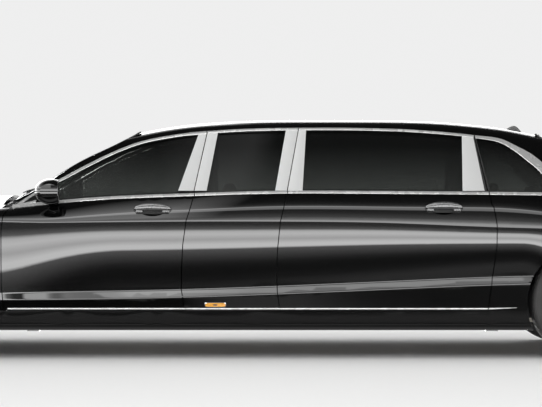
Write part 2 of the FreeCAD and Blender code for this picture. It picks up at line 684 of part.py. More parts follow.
front_screen = screen_solid(windscreen_shares, screen_bow, 1)
back_screen = screen_solid(rear_window_shares, rear_bow, -1)
screens = front_screen.fuse(back_screen)
cabin_loft = sections(cabin_stations, cabin_half_section)
cabin_core = sections(cabin_stations, cabin_half_section, frame_thickness, roof_thickness)
cabin_shell = cabin_loft.common(screens).cut(cabin_core)


# the side shell of the doors and the fixed panels, as one closed section with its inner face
def side_section(x, inset=0.0, door_in=0.0, frame_in=0.0):
    """The left side's closed section at x, as point lists in (y, z): out along the skin and back along the lining."""
    lower_half = lower_half_section(x)
    cabin_half = cabin_half_section(x)
    skin = [[(y - inset, z) for y, z in points] for points in lower_half[2:7] + cabin_half[2:4]]
    skin.insert(5, [skin[4][-1], skin[5][0]])
    w = body_width(x)
    ledge_z = edge_height(x) - door_top_drop
    top = skin[-1][-1]
    side_y, side_z = skin[-2][-1]
    foot_y = skin[5][1][0]
    lining = [(top[0], top[1] - roof_thickness), (side_y - frame_in, side_z - roof_thickness / 2),
              (foot_y - frame_in, ledge_z), (edge_width(x) - door_in, ledge_z),
              (w - door_in, shoulder_height(x)), (skin[0][0][0] - door_in, skin[0][0][1])]
    ring = [top] + lining + [skin[0][0]]
    return skin + [[ring[i], ring[i + 1]] for i in range(len(ring) - 1)]


def side_wire(x, *insets):
    edges = []
    for points in side_section(x, *insets):
        pts = [(x, y, z) for y, z in points]
        edges.append(line(*pts) if len(pts) == 2 else bezier(pts))
    return Part.Wire(edges)


door_shell = loft([side_wire(along(s), 0.0, door_thickness, frame_thickness) for s in side_stations])
glass_shell = loft([side_wire(along(s), glass_inset, glass_inset + glass_thickness, glass_thickness)
                    for s in side_stations])


def shut_prism(outline, gap, behind):
    return side_prism(grown(outline, gap), left_y, far_y, behind, door_taper)


front_split_x = along(front_split_share)
rear_split_x = along(rear_split_share)
front_door_cut = shut_prism(front_door_outline, half_gap, front_split_x)
rear_door_cut = shut_prism(rear_door_outline, half_gap, rear_split_x)
windows = {"front_door": placed(front_window_shares), "mid_panel": placed(mid_window_shares),
           "rear_door": placed(rear_door_window_shares), "quarter": placed(quarter_window_shares)}
window_cuts = {name: side_prism(w, left_y, far_y) for name, w in windows.items()}
roof_low = roof_low_share * car_height
glass_low = glass_low_share * car_height


def plan_cut(shares, gap, low, high):
    return plan_prism(grown(both_sides(plan_placed(shares)), gap), low, high)


roof_hole = plan_cut(roof_shares, seat_gap, roof_low, top_z)
roof_clear = plan_cut(roof_shares, shut_gap, roof_low, top_z)
front_door = cut(door_shell.common(shut_prism(front_door_outline, -half_gap, front_split_x)), window_cuts["front_door"],
                 roof_clear)
rear_door = cut(door_shell.common(shut_prism(rear_door_outline, -half_gap, rear_split_x)), window_cuts["rear_door"],
                roof_clear)
both("front_door", solids(front_door, crumb))
both("rear_door", solids(rear_door, crumb))
mid_zone = side_prism(grown(mid_outline, mid_overlap), left_y, far_y)
mid_zone = mid_zone.common(box(along(mid_back_share), along(mid_front_share), left_y, far_y, sill_top_z, top_z))
mid_roof = side_prism(placed(mid_roof_shares), left_y, far_y)
mid_panel = cut(door_shell.common(mid_zone).common(mid_roof), front_door_cut, rear_door_cut, window_cuts["mid_panel"],
                roof_hole)


def hinge_leaves(x0, x1, door_outline, behind):
    """Two flat hinge leaves that reach to the front face of a shut door."""
    made = []
    for share in (leaf_low_share, leaf_high_share):
        z = share * car_height
        leaf = box(x0, x1, half_width - leaf_in, half_width - a_post_out, z - leaf_height / 2, z + leaf_height / 2)
        made.append(leaf.cut(shut_prism(door_outline, seat_gap - half_gap, behind)))
    return made


mid_line_x = max(x for x, z in rear_door_outline)
mid_panel = fused([mid_panel] + hinge_leaves(mid_line_x - leaf_depth, mid_line_x + leaf_depth, rear_door_outline, rear_split_x))
both("mid_panel", solids(mid_panel, crumb))
glasses = {}
for name, node in (("front_door", "front_door_glass"), ("mid_panel", "mid_glass"), ("rear_door", "rear_door_glass"),
                   ("quarter", "quarter_glass")):
    fill = side_prism(grown(windows[name], -seat_gap), left_y, far_y)
    glasses[node] = solids(glass_shell.common(fill), crumb)
both("front_door_glass", glasses["front_door_glass"])
both("rear_door_glass", glasses["rear_door_glass"])
keep("fixed_side_glass", Part.makeCompound([g for n in ("mid_glass", "quarter_glass")
                                            for g in (glasses[n], mirrored(glasses[n]))]))

# roof, windscreen and rear window
keep("roof_panel", solids(cabin_shell.common(plan_cut(roof_shares, 0.0, roof_low, top_z)), crumb))
windscreen_hole = plan_cut(windscreen_plan_shares, seat_gap, glass_low, top_z)
back_hole = plan_cut(back_plan_shares, seat_gap, glass_low, top_z)
windscreen = plan_cut(windscreen_plan_shares, 0.0, glass_low, top_z).common(moved(front_screen, -glass_sunk))
windscreen = windscreen.cut(moved(front_screen, -glass_sunk - glass_thickness))
rear_window = plan_cut(back_plan_shares, 0.0, glass_low, top_z).common(moved(back_screen, glass_sunk))
rear_window = rear_window.cut(moved(back_screen, glass_sunk + glass_thickness))
keep("windscreen", solids(windscreen.cut(roof_hole), crumb))
keep("rear_window", solids(rear_window.cut(roof_hole), crumb))

# bonnet and boot lid
bonnet_low = bonnet_floor_share * car_height
lid_low = lid_floor_share * car_height
bonnet_side = side_prism(placed(bonnet_side_shares), -far_y, far_y)
bonnet_hole = plan_cut(bonnet_shares, half_gap, bonnet_low, top_z).common(
    side_prism(grown(placed(bonnet_side_shares), shut_gap), -far_y, far_y))
bonnet = front_shell.common(plan_cut(bonnet_shares, -half_gap - bonnet_ease, bonnet_low, top_z)).common(bonnet_side)
keep("bonnet", solids(bonnet, crumb))
lid_hole = plan_cut(lid_shares, half_gap, lid_low - shut_gap, top_z)
lid_core = sections(lower_stations, lower_half_section, 0.0, lid_thickness).common(
    end_solid(tail_x + lid_thickness, -1, tail_depth, tail_profile_shares))
lid = rear_lower.common(plan_cut(lid_shares, -half_gap - lid_ease, lid_low, top_z)).cut(lid_core)
keep("boot_lid", solids(lid, crumb))

# wheel arches
front_arch = rod(arch_radius, (front_axle_x, left_y, tyre_radius), (front_axle_x, far_y, tyre_radius))
rear_arch = rod(arch_radius, (rear_axle_x, left_y, tyre_radius), (rear_axle_x, far_y, tyre_radius))

# bumpers, grille and lamps
grille_back_x = along(grille_back_share)
front_bumper_side = side_prism(placed(front_bumper_shares), -far_y, far_y)
bumper_gap_front = side_prism(grown(placed(front_bumper_shares), shut_gap), left_y, far_y)
bumper_gap_rear = side_prism(grown(placed(rear_bumper_shares), shut_gap), left_y, far_y)
fascia = side_prism(placed(fascia_shares), -fascia_half_share * half_width, fascia_half_share * half_width)
headlamp_hole = front_prism(front_placed(headlamp_shares), along(headlamp_back_share), far_x)
headlamp_fill = front_prism(grown(front_placed(headlamp_shares), -seat_gap), along(headlamp_back_share) + seat_gap, far_x)
grille_outline = front_both_sides(front_placed(grille_shares))
grille_hole = front_prism(grille_outline, grille_back_x, far_x)
intake = front_prism(front_placed(intake_shares), along(intake_back_share), far_x)
centre_intake = front_prism(front_both_sides(front_placed(centre_intake_shares)), grille_back_x, far_x)
front_bumper = front_shell.common(front_bumper_side.fuse(fascia))
front_bumper = cut(front_bumper, bonnet_hole, grille_hole, intake, mirrored(intake), centre_intake, headlamp_hole,
                   mirrored(headlamp_hole), front_arch, mirrored(front_arch))
keep("front_bumper", solids(front_bumper, crumb))
rear_bumper = rear_shell.common(side_prism(placed(rear_bumper_shares), -far_y, far_y))
tip_hole = front_prism(grown(front_placed(tip_shares), shut_gap), tail_x + bumper_thickness * 5, -far_x)
rear_bumper = cut(rear_bumper, rear_arch, mirrored(rear_arch), tip_hole, mirrored(tip_hole))
keep("rear_bumper", solids(rear_bumper, crumb))
lamp_core = sections(lower_stations, lower_half_section, lamp_side_depth, 0.0)
front_lamp_core = lamp_core.common(end_solid(nose_x - headlamp_depth, 1, nose_depth, nose_profile_shares))
rear_lamp_core = lamp_core.common(end_solid(tail_x + tail_lamp_depth, -1, tail_depth, tail_profile_shares))
headlamp = front_lower.common(headlamp_fill).cut(front_lamp_core).cut(bonnet_hole)
headlamp = solids(headlamp, crumb)
keep("headlamps", Part.makeCompound([headlamp, mirrored(headlamp)]))
tail_hole = front_prism(front_placed(tail_lamp_shares), along(tail_lamp_back_share), -far_x)
tail_fill = front_prism(grown(front_placed(tail_lamp_shares), -seat_gap), along(tail_lamp_back_share) - seat_gap, -far_x)
tail_lamp = rear_lower.common(tail_fill).cut(rear_lamp_core).cut(lid_hole)
tail_lamp = solids(tail_lamp, crumb)
keep("tail_lamps", Part.makeCompound([tail_lamp, mirrored(tail_lamp)]))

# upright grille: a frame and level bars that follow the nose
grille_zone = front_prism(grown(grille_outline, -seat_gap), grille_back_x, far_x)
grille_inner = front_prism(grown(grille_outline, -grille_frame), grille_back_x, far_x)
grille_block = grille_zone.common(end_solid(nose_x - grille_inset, 1, nose_depth, nose_profile_shares))
grille_rim = grille_block.cut(grille_inner).cut(
    end_solid(nose_x - grille_inset - grille_frame_depth, 1, nose_depth, nose_profile_shares))
bar_block = grille_zone.common(end_solid(nose_x - grille_bar_inset, 1, nose_depth, nose_profile_shares)).cut(
    end_solid(nose_x - grille_bar_inset - grille_bar_depth, 1, nose_depth, nose_profile_shares))
grille_low = min(z for y, z in grille_outline)
pitch = (max(z for y, z in grille_outline) - grille_low) / (grille_bars + 1)
bars = []
for i in range(grille_bars):
    z = grille_low + pitch * (i + 1)
    bars.append(bar_block.common(box(grille_back_x, far_x, -half_width, half_width, z - grille_bar_height / 2,
                                     z + grille_bar_height / 2)))
keep("grille", solids(fused([grille_rim] + bars), crumb))

# front wings
wing_zone = side_prism(placed(wing_shares), left_y, far_y)
wing_gap_zone = side_prism(grown(placed(wing_shares), shut_gap), left_y, far_y)
front_door_gap = shut_prism(front_door_outline, shut_gap - half_gap, front_split_x)
wing = front_shell.common(wing_zone)
bonnet_back_share, bonnet_back_width_share = bonnet_shares[7]
cowl_side_y = bonnet_back_width_share * half_width + half_gap
wing = cut(wing, front_arch, bonnet_hole, bumper_gap_front, headlamp_hole, front_door_gap, cabin_loft.common(front_screen),
           box(front_axle_x, far_x, -far_y, (fascia_half_share + wing_in_share) * half_width, low_z, top_z),
           box(0, along(bonnet_back_share), 0, cowl_side_y, low_z, top_z))
both("front_wing", solids(wing, crumb))

# body sides: sill, post, roof rail and rear quarter
lid_drop = lid_thickness + ledge_gap
rail_prism = side_prism(placed(rail_zone_shares), left_y, far_y)
rails = cut(cabin_shell.common(rail_prism), front_door_cut, rear_door_cut, mid_zone.common(mid_roof), roof_hole,
            windscreen_hole, back_hole, window_cuts["quarter"], wing_gap_zone)
rails = solids(rails.cut(side_prism(grown(front_door_outline, half_gap), left_y, far_y)), crumb)
quarter = rear_shell.common(box(-far_x, rear_zone_x, left_y, far_y, sill_bottom_z, top_z))
cabin_space = cabin_core.common(moved(back_screen, glass_sunk + glass_thickness))
shelf_zone = plan_cut(shelf_shares, seat_gap, bonnet_low, top_z)
quarter = cut(quarter, rear_door_cut, rear_arch, bumper_gap_rear, tail_hole, lid_hole, window_cuts["quarter"],
              cabin_space, shelf_zone)
ledge = rear_lower.common(plan_cut(lid_shares, ledge_width, lid_low, top_z)).common(box(-far_x, 0, 0, far_y, low_z, top_z))
ledge = ledge.cut(plan_cut(lid_shares, -ledge_width, lid_low, top_z))
ledge = ledge.common(moved(lower_loft, 0, 0, -lid_drop)).cut(moved(lower_loft, 0, 0, -lid_drop - ledge_thickness))
ledge = ledge.common(end_solid(tail_x + bumper_thickness, -1, tail_depth, tail_profile_shares)).cut(tail_hole)
sill = lower_loft.common(box(along(sill_back_share), along(sill_front_share), sill_inner_y, far_y, low_z, sill_top_z))
sill = sill.cut(rear_arch)
post_x = max(x for x, z in front_door_outline) + a_post_front
post = box(post_x, post_x + a_post_length, half_width - a_post_depth, half_width - a_post_out, sill_bottom_z,
           post_top_share * car_height)
toe = box(along(sill_front_share) - overrun, post_x + a_post_length, sill_inner_y, half_width - a_post_out, sill_bottom_z,
          sill_top_z)
leaves = hinge_leaves(post_x - leaf_depth, post_x + a_post_length, front_door_outline, front_split_x)
lid_stops = []
for stop_share in lid_stop_shares:
    stop = rod(stop_radius, (along(stop_share), lid_stop_y, lid_low), (along(stop_share), lid_stop_y, top_z))
    lid_stops.append(stop.common(moved(lid_core, 0, 0, -seat_gap)).cut(
        moved(lower_loft, 0, 0, -lid_drop - ledge_thickness / 2)))
pads = [box(along(s) - jack_length / 2, along(s) + jack_length / 2, jack_y - jack_width / 2, jack_y + jack_width / 2,
            sill_bottom_z - jack_height, sill_bottom_z + jack_root) for s in jack_shares]
side = fused([quarter, rails, sill, post, toe, ledge] + leaves + lid_stops + pads)
both("body_side", solids(side, crumb))

# cowl in front of the windscreen and shelf behind the rear seats
glass_drop = glass_sunk + glass_thickness + glass_bed
cabin_room = sections(cabin_stations, cabin_half_section, frame_thickness + glass_bed, roof_thickness)
skin_drop = moved(lower_loft, 0, 0, -cowl_thickness)
lip = moved(lower_loft, 0, 0, lip_height)
cowl = lip.common(plan_cut(cowl_shares, 0.0, bonnet_low, top_z)).common(moved(front_screen, -glass_drop)).cut(skin_drop).common(cabin_room)
cowl = cut(cowl, plan_cut(bonnet_shares, cowl_gap, bonnet_low, top_z),
           doubled(side_prism(grown(placed(wing_shares), seat_gap), cowl_side_y - seat_gap, far_y)), doubled(side),
           doubled(side_prism(grown(front_door_outline, shut_gap), left_y, far_y)))
keep("cowl_panel", solids(cowl, crumb))
shelf = lip.common(plan_cut(shelf_shares, 0.0, bonnet_low, top_z)).common(moved(back_screen, glass_drop)).cut(skin_drop).common(cabin_room)
shelf = cut(shelf, plan_cut(lid_shares, shut_gap, bonnet_low, top_z), doubled(side))
keep("rear_shelf", solids(shelf, crumb))

# floor, firewall and boot floor from one folded profile
front_well = rod(liner_radius + liner_wall + liner_gap, (front_axle_x, liner_inner_y - liner_gap, tyre_radius),
                 (front_axle_x, far_y, tyre_radius))
rear_well = rod(rear_liner_radius + liner_wall + liner_gap, (rear_axle_x, rear_liner_y - liner_gap, tyre_radius),
                (rear_axle_x, far_y, tyre_radius))
floor = side_prism(strip(placed(floor_shares), -floor_thickness), seat_gap - sill_inner_y, sill_inner_y - seat_gap)
floor = cut(floor, front_well, mirrored(front_well), rear_well, mirrored(rear_well), doubled(side), parts["cowl_panel"])
boot_end = floor.common(box(-far_x, 0, -far_y, far_y, 0, top_z)).common(
    end_solid(tail_x + bumper_thickness + seat_gap, -1, tail_depth, tail_profile_shares))
floor = fused([floor.cut(box(-far_x, 0, -far_y, far_y, 0, top_z)), boot_end])
keep("floor_pan", solids(floor, crumb))


def liner(axle_x, radius, inner_y, skin):
    """A wheel housing's shell, with its inner wall open where the suspension passes."""
    shell = rod(radius + liner_wall, (axle_x, inner_y, tyre_radius), (axle_x, far_y, tyre_radius))
    shell = shell.cut(rod(radius, (axle_x, inner_y + liner_wall, tyre_radius), (axle_x, far_y, tyre_radius)))
    shell = shell.cut(box(axle_x - arm_spread, axle_x + arm_spread, 0, inner_y + liner_wall * 2, 0, axle_slot_z))
    return shell.common(box(-far_x, far_x, 0, far_y, liner_low_share * car_height, top_z)).common(skin)


liner_top = lid_thickness + liner_gap
front_liner = liner(front_axle_x, liner_radius, liner_inner_y,
                    sections(lower_stations, lower_half_section, fender_thickness + liner_gap, liner_top))
rear_liner = liner(rear_axle_x, rear_liner_radius, rear_liner_y,
                   sections(lower_stations, lower_half_section, quarter_thickness + liner_gap, liner_top))
front_liner = solids(cut(front_liner, parts["front_bumper"], side, parts["front_wing_left"]), crumb)
rear_liner = solids(cut(rear_liner, parts["rear_bumper"], side, floor), crumb)
keep("wheel_liners", Part.makeCompound([front_liner, mirrored(front_liner), rear_liner, mirrored(rear_liner)]))

# engine bay: engine block and radiator
floor_low_z = floor_shares[2][1] * car_height
boot_floor_z = floor_shares[5][1] * car_height
rail_top_z = floor_low_z - seat_gap
subframe_low_z = rail_top_z - rail_height
engine_low_z = subframe_low_z + subframe_height
radiator_low_z = rail_top_z
pipe_z = floor_low_z - seat_gap - pipe_radius
rear_frame_low_z = floor_low_z + carrier_gap
engine_back_x = front_axle_x - engine_length * engine_back_share
engine = box(engine_back_x, engine_back_x + engine_length, -engine_width / 2, engine_width / 2, engine_low_z,
             engine_low_z + engine_height)
keep("engine_block", engine)
radiator_top_z = radiator_low_z + radiator_height
radiator = box(radiator_x, radiator_x + radiator_depth, -radiator_width / 2, radiator_width / 2, radiator_low_z,
               radiator_top_z)
stops = []
under_bonnet = moved(front_core, 0, 0, -seat_gap)
for y in (-bonnet_stop_y, bonnet_stop_y):
    x = radiator_x + radiator_depth / 2
    stops.append(rod(stop_radius, (x, y, radiator_top_z - stop_radius), (x, y, top_z)).common(under_bonnet))
keep("radiator", solids(fused([radiator] + stops), crumb))


# wheels
def revolved(points, centre):
    """A closed outline of (radius, y) corners turned about a wheel's axle."""
    x, y, z = centre
    pts = [Vec(x, y + b, z + a) for a, b in points]
    return Part.Face(Part.makePolygon(pts + [pts[0]])).revolve(Vec(x, y, z), Vec(0, 1, 0), 360)


def tyre_at(x, y):
    half = tyre_width / 2
    bead = rim_radius + seat_gap
    half_bead = tyre_bead_half - seat_gap
    left = [(bead, half_bead), (bead + rim_lip, half_bead), (bead + tyre_side_rise, half),
            (tyre_radius - tyre_shoulder, half - tyre_side_in), (tyre_radius - tyre_crown_drop, half - tyre_shoulder),
            (tyre_radius, tyre_flat / 2)]
    return revolved(left + [(r, -v) for r, v in reversed(left)], (x, y, tyre_radius))


def rim_at(x, y):
    """A wheel whose face looks to +y: barrel, spokes, hub and the brake disc behind it."""
    g = tyre_bead_half
    outer_g = g + rim_barrel_wall
    barrel = [(rim_radius, -g), (rim_radius + rim_lip, -g), (rim_radius + rim_lip, -outer_g),
              (rim_radius - rim_barrel_wall, -outer_g), (rim_radius - rim_barrel_wall, outer_g),
              (rim_radius + rim_lip, outer_g), (rim_radius + rim_lip, g), (rim_radius, g)]
    shapes = [revolved(barrel, (x, y, tyre_radius))]
    face = y + g
    shapes.append(rod(hub_radius, (x, y + hub_back, tyre_radius), (x, face - hub_sunk + hub_proud, tyre_radius)))
    a, b = hub_radius * spoke_root_share, rim_radius - rim_barrel_wall / 2
    w0, w1 = spoke_root_width / 2, spoke_tip_width / 2
    plan = [(-w0, a), (w0, a), (w1, b), (-w1, b), (-w0, a)]
    profile = [(a, face - hub_sunk), (b, face - spoke_tip_sunk), (b, face - spoke_tip_sunk - spoke_thickness),
               (a, face - hub_sunk - spoke_thickness * 2), (a, face - hub_sunk)]
    outline = Part.Face(Part.makePolygon([Vec(x + u, y, tyre_radius + v) for u, v in plan]))
    edge = Part.Face(Part.makePolygon([Vec(x - spoke_root_width, v, tyre_radius + u) for u, v in profile]))
    spoke = outline.extrude(Vec(0, outer_g, 0)).common(edge.extrude(Vec(spoke_root_width * 2, 0, 0)))
    for i in range(spoke_count):
        shapes.append(turned(spoke, (x, y, tyre_radius), (0, 1, 0), 360 * i / spoke_count))
    shapes.append(rod(disc_radius, (x, y - disc_in - disc_thickness, tyre_radius), (x, y - disc_in, tyre_radius)))
    shapes.append(rod(bell_radius, (x, y - disc_in - disc_thickness, tyre_radius),
                      (x, y + hub_back + disc_thickness, tyre_radius)))
    return fused(shapes)


rim = rim_at(0, wheel_y)
tyre = tyre_at(0, wheel_y)
for name, x in (("front", front_axle_x), ("rear", rear_axle_x)):
    both(name + "_rim", moved(rim, x))
    both(name + "_tyre", moved(tyre, x))

# hub carriers with their brake calipers: the front ones steer
inner_face = wheel_y - disc_in - disc_thickness


def carrier_at(x):
    start, end = inner_face - carrier_width, inner_face - carrier_gap
    plate = rod(carrier_radius, (x, start, tyre_radius), (x, end, tyre_radius))
    upright = box(x - carrier_arm / 2, x + carrier_arm / 2, start, end, tyre_radius - carrier_low,
                  tyre_radius + carrier_high)
    pad_in, pad_out = disc_radius - pad_depth, disc_radius + pad_over
    y0, y1 = inner_face - pad_wall, inner_face + disc_thickness + pad_wall
    ring = rod(pad_out, (x, y0, tyre_radius), (x, y1, tyre_radius)).cut(
        rod(pad_in, (x, y0, tyre_radius), (x, y1, tyre_radius)))
    slot = rod(disc_radius + carrier_gap, (x, inner_face - carrier_gap, tyre_radius),
               (x, inner_face + disc_thickness + carrier_gap, tyre_radius))
    caliper = ring.common(box(x - rim_radius, x - pad_in / 2, 0, far_y, tyre_radius - pad_height / 2,
                              tyre_radius + pad_height / 2)).cut(slot)
    bridge = box(x - pad_out, x, start, end, tyre_radius - pad_height / 4, tyre_radius + pad_height / 4)
    bridge = bridge.common(rod(pad_out - carrier_gap, (x, 0, tyre_radius), (x, far_y, tyre_radius)))
    bearing = rod(bearing_radius, (x, start, tyre_radius), (x, inner_face - seat_gap, tyre_radius))
    return fused([plate, upright, caliper, bridge, bearing])


both("front_knuckle", carrier_at(front_axle_x))
arm_z = tyre_radius - carrier_low - seat_gap - arm_height / 2
frame = box(front_axle_x - subframe_length / 2, front_axle_x + subframe_length / 2, -subframe_half_width,
            subframe_half_width, subframe_low_z, subframe_low_z + subframe_height)


def wishbone(x, foot_y, tip_y, z):
    """A flat lower arm with two legs that meet under the hub carrier in a round boss."""
    outer = [(x - arm_spread / 2, foot_y), (x - arm_width / 2, tip_y), (x + arm_width / 2, tip_y), (x + arm_spread / 2, foot_y)]
    inner = [(x - arm_spread / 2 + arm_width, foot_y), (x, tip_y - arm_width * 2), (x + arm_spread / 2 - arm_width, foot_y)]
    low, high = z - arm_height / 2, z + arm_height / 2
    arm = plan_prism(outer, low, high).cut(plan_prism(inner, low, high))
    return arm.fuse(rod(arm_boss, (x, tip_y, low), (x, tip_y, high)))


front_arm = wishbone(front_axle_x, subframe_half_width - arm_height / 2, kingpin_y, arm_z)
rail = box(along(rail_back_share), far_x, rail_inner_y, rail_outer_y, subframe_low_z, rail_top_z).common(
    end_solid(nose_x - bumper_thickness - seat_gap, 1, nose_depth, nose_profile_shares))
keep("front_subframe", fused([frame, front_arm, mirrored(front_arm), rail, mirrored(rail)]))
rear_frame = box(rear_axle_x - rear_frame_length / 2, rear_axle_x + rear_frame_length / 2, -rear_frame_half_width,
                 rear_frame_half_width, rear_frame_low_z, rear_frame_low_z + rear_frame_height)
rear_carrier = carrier_at(rear_axle_x)
rear_arm_z = rear_frame_low_z + rear_frame_height / 2
half_shaft = rod(arm_height / 2, (rear_axle_x, 0, tyre_radius), (rear_axle_x, inner_face - carrier_gap * 2, tyre_radius))
lower_arm = rod(arm_height / 2, (rear_axle_x, rear_frame_half_width - arm_height, rear_arm_z),
                (rear_axle_x, inner_face - carrier_width + carrier_gap, rear_arm_z))
gearcase = rod(gearcase_radius, (rear_axle_x, -gearcase_radius, tyre_radius), (rear_axle_x, gearcase_radius, tyre_radius))
towers = []
for end in (-1, 1):
    for y in (-1, 1):
        x, y = rear_axle_x + end * (rear_frame_length / 2 - tower_radius), y * (rear_frame_half_width - tower_radius)
        towers.append(rod(tower_radius, (x, y, rear_frame_low_z), (x, y, boot_floor_z - seat_gap)))
keep("rear_subframe", fused([rear_frame, gearcase, rear_carrier, mirrored(rear_carrier), half_shaft,
                             mirrored(half_shaft), lower_arm, mirrored(lower_arm)] + towers))


# seats: a cushion on its base, a leaning back and a headrest on two stems
def seat(x, facing):
    def at(dx0, dx1, y0, y1, z0, z1):
        return box(x + facing * dx0, x + facing * dx1, y0, y1, z0, z1)
    cushion = at(-seat_length / 2, seat_length / 2, -seat_width / 2, seat_width / 2, seat_base_z,
                 seat_base_z + seat_thickness)
    base = at(-seat_length / 2 + seat_edge, seat_length / 2 - seat_edge, -seat_base_width / 2, seat_base_width / 2,
              floor_top_z, seat_base_z)
    back_x = -seat_length / 2
    back = at(back_x - seat_back_thickness, back_x - seat_gap, -seat_width / 2, seat_width / 2, seat_base_z,
              seat_base_z + seat_back_height)
    top = seat_base_z + seat_back_height
    rest_x = back_x - seat_back_thickness / 2
    rest = at(rest_x - headrest_thickness / 2, rest_x + headrest_thickness / 2, -headrest_width / 2, headrest_width / 2,
              top + headrest_gap, top + headrest_gap + headrest_height)
    stems = [rod(headrest_stem, (x + facing * rest_x, y, top - headrest_gap), (x + facing * rest_x, y, top + headrest_gap * 2))
             for y in (-headrest_stem_y, headrest_stem_y)]
    back = turned(fused([back, rest] + stems), (x + facing * back_x, 0, seat_base_z), (0, -facing, 0), seat_lean)
    return [base.cut(back), cushion.cut(back), back]


floor_top_z = floor_shares[2][1] * car_height + floor_thickness
for name, x, facing in (("front_seats", front_seat_x, 1), ("facing_seats", facing_seat_x, -1), ("rear_seats", rear_seat_x, 1)):
    pair = [moved(s, 0, y) for y in (-seat_y, seat_y) for s in seat(x, facing)]
    keep(name, Part.makeCompound(pair))
dash = side_prism(placed(dash_shares), -dash_half_width, dash_half_width)
column_axis = (math.cos(math.radians(steering_tilt)), 0, -math.sin(math.radians(steering_tilt)))
hub_point = (steering_x, steering_y, steering_z)
column = rod(column_radius, tuple(p + wheel_pad_depth * a for p, a in zip(hub_point, column_axis)),
             tuple(p + (wheel_pad_depth + column_length) * a for p, a in zip(hub_point, column_axis)))
keep("dashboard", fused([dash.cut(doubled(side)).cut(parts["cowl_panel"]).cut(floor), column]))
ring = Part.makeTorus(wheel_rim_radius, wheel_grip_radius, Vec(*hub_point), Vec(*column_axis))
pad = rod(wheel_pad_radius, hub_point, tuple(p + (wheel_pad_depth - seat_gap) * a for p, a in zip(hub_point, column_axis)))
arm = box(steering_x, steering_x + steering_spoke / 2, steering_y - wheel_rim_radius, steering_y + wheel_rim_radius,
          steering_z - steering_spoke / 2, steering_z + steering_spoke / 2)
arm = arm.fuse(box(steering_x, steering_x + steering_spoke / 2, steering_y - steering_spoke / 2,
                   steering_y + steering_spoke / 2, steering_z - wheel_rim_radius, steering_z))
arm = turned(arm, hub_point, (0, 1, 0), steering_tilt)
keep("steering_wheel", fused([ring, pad, arm]))
partition = front_prism(front_both_sides(front_placed(partition_shares)), partition_x, partition_x + partition_thickness)
partition_window = front_prism(front_placed(partition_window_shares), partition_x - overrun, partition_x + overrun * 2)
partition = partition.cut(box(-far_x, far_x, -far_y, far_y, 0, floor_top_z + seat_gap))
keep("partition_wall", partition.cut(partition_window))

# exhaust: two pipes, two silencers and tips through the rear bumper
def rounded_box(x0, x1, y0, y1, z0, z1, radius):
    shape = box(x0, x1, y0, y1, z0, z1)
    return shape.makeFillet(radius, [e for e in shape.Edges if abs(e.Vertexes[0].X - e.Vertexes[1].X) > abs(x1 - x0) / 2])


silencer_x0, silencer_x1 = along(silencer_front_share), along(silencer_back_share)
silencer_low = pipe_z - pipe_radius
silencer = rounded_box(silencer_x1, silencer_x0, silencer_inner_y, silencer_outer_y, silencer_low,
                       silencer_low + silencer_height, silencer_edge)
pipe = rod(pipe_radius, (along(pipe_start_share), pipe_y, pipe_z), (silencer_x0 - pipe_radius, pipe_y, pipe_z))
tip = front_prism(front_placed(tip_shares), silencer_x1 + pipe_radius, -far_x).common(
    end_solid(tail_x + tip_sunk, -1, tail_depth, tail_profile_shares))
exhaust = fused([silencer, pipe, tip])
keep("exhaust", Part.makeCompound([exhaust, mirrored(exhaust)]))


# door handles follow the skin on two feet, and the mirrors stand on the front doors
def handle(x, z):
    reach = handle_length / 2 - handle_height / 2
    bar = box(x - reach, x + reach, left_y, far_y, z - handle_height / 2, z + handle_height / 2)
    ends = [rod(handle_height / 2, (x + e * reach, left_y, z), (x + e * reach, far_y, z)) for e in (-1, 1)]
    layer = fused([bar] + ends).common(moved(door_shell, 0, handle_out)).cut(moved(door_shell, 0, handle_out - handle_wall))
    foot_at = handle_length / 2 - handle_foot
    feet = [box(x + e * foot_at - handle_foot / 4, x + e * foot_at + handle_foot / 4, left_y, far_y,
                z - handle_height / 4, z + handle_height / 4).common(moved(door_shell, 0, handle_out - handle_wall / 2)).cut(
        door_shell) for e in (-1, 1)]
    return solids(fused([solids(layer, crumb)] + [solids(f, crumb) for f in feet]))


both("front_door_handle", handle(along(front_handle_share), front_handle_z_share * car_height))
both("rear_door_handle", handle(along(rear_handle_share), rear_handle_z_share * car_height))


def mirror_wire(reach_share, size_share):
    y = mirror_foot_y + mirror_foot_size / 2 + reach_share * mirror_reach
    ellipse = Part.Ellipse(Vec(0, 0, 0), mirror_length / 2, mirror_height / 2).toShape()
    ellipse.rotate(Vec(0, 0, 0), Vec(1, 0, 0), 90)
    ellipse.scale(size_share)
    ellipse.translate(Vec(mirror_x, y, mirror_z))
    return Part.Wire([ellipse])


head = loft([mirror_wire(r, v) for r, v in mirror_section_shares])
head = head.cut(box(mirror_x - mirror_length, mirror_x - mirror_length * mirror_back_share, 0, far_y * 2, 0, top_z))
foot = box(mirror_x - mirror_foot_size / 2, mirror_x + mirror_foot_size / 2, mirror_foot_y,
           mirror_foot_y + mirror_reach * mirror_foot_share, mirror_z - mirror_height / 2, mirror_z - mirror_foot_drop)
mirror = fused([head, foot.cut(door_shell)])
both("mirror", solids(mirror, crumb))

os.makedirs("parts", exist_ok=True)
for name, shape in parts.items():
    shape.exportStep("parts/" + name + ".step")
    if not shape.Solids or not shape.isValid():
        print("check", name, len(shape.Solids), shape.isValid())
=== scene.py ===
# %% [markdown]
# A stretched limousine in black gloss paint. Its shape, joints and panel gaps come from a imported CAD model,
# and this script gives it its looks: smooth reflections, bright trim, wheels, lamps, glass and a cabin. The
# imported model is loaded first.

# %% Load the imported car
import bmesh
import bpy
import json
import math
import numpy as np
from mathutils import Matrix, Vector
from mathutils.bvhtree import BVHTree
from mathutils.geometry import barycentric_transform


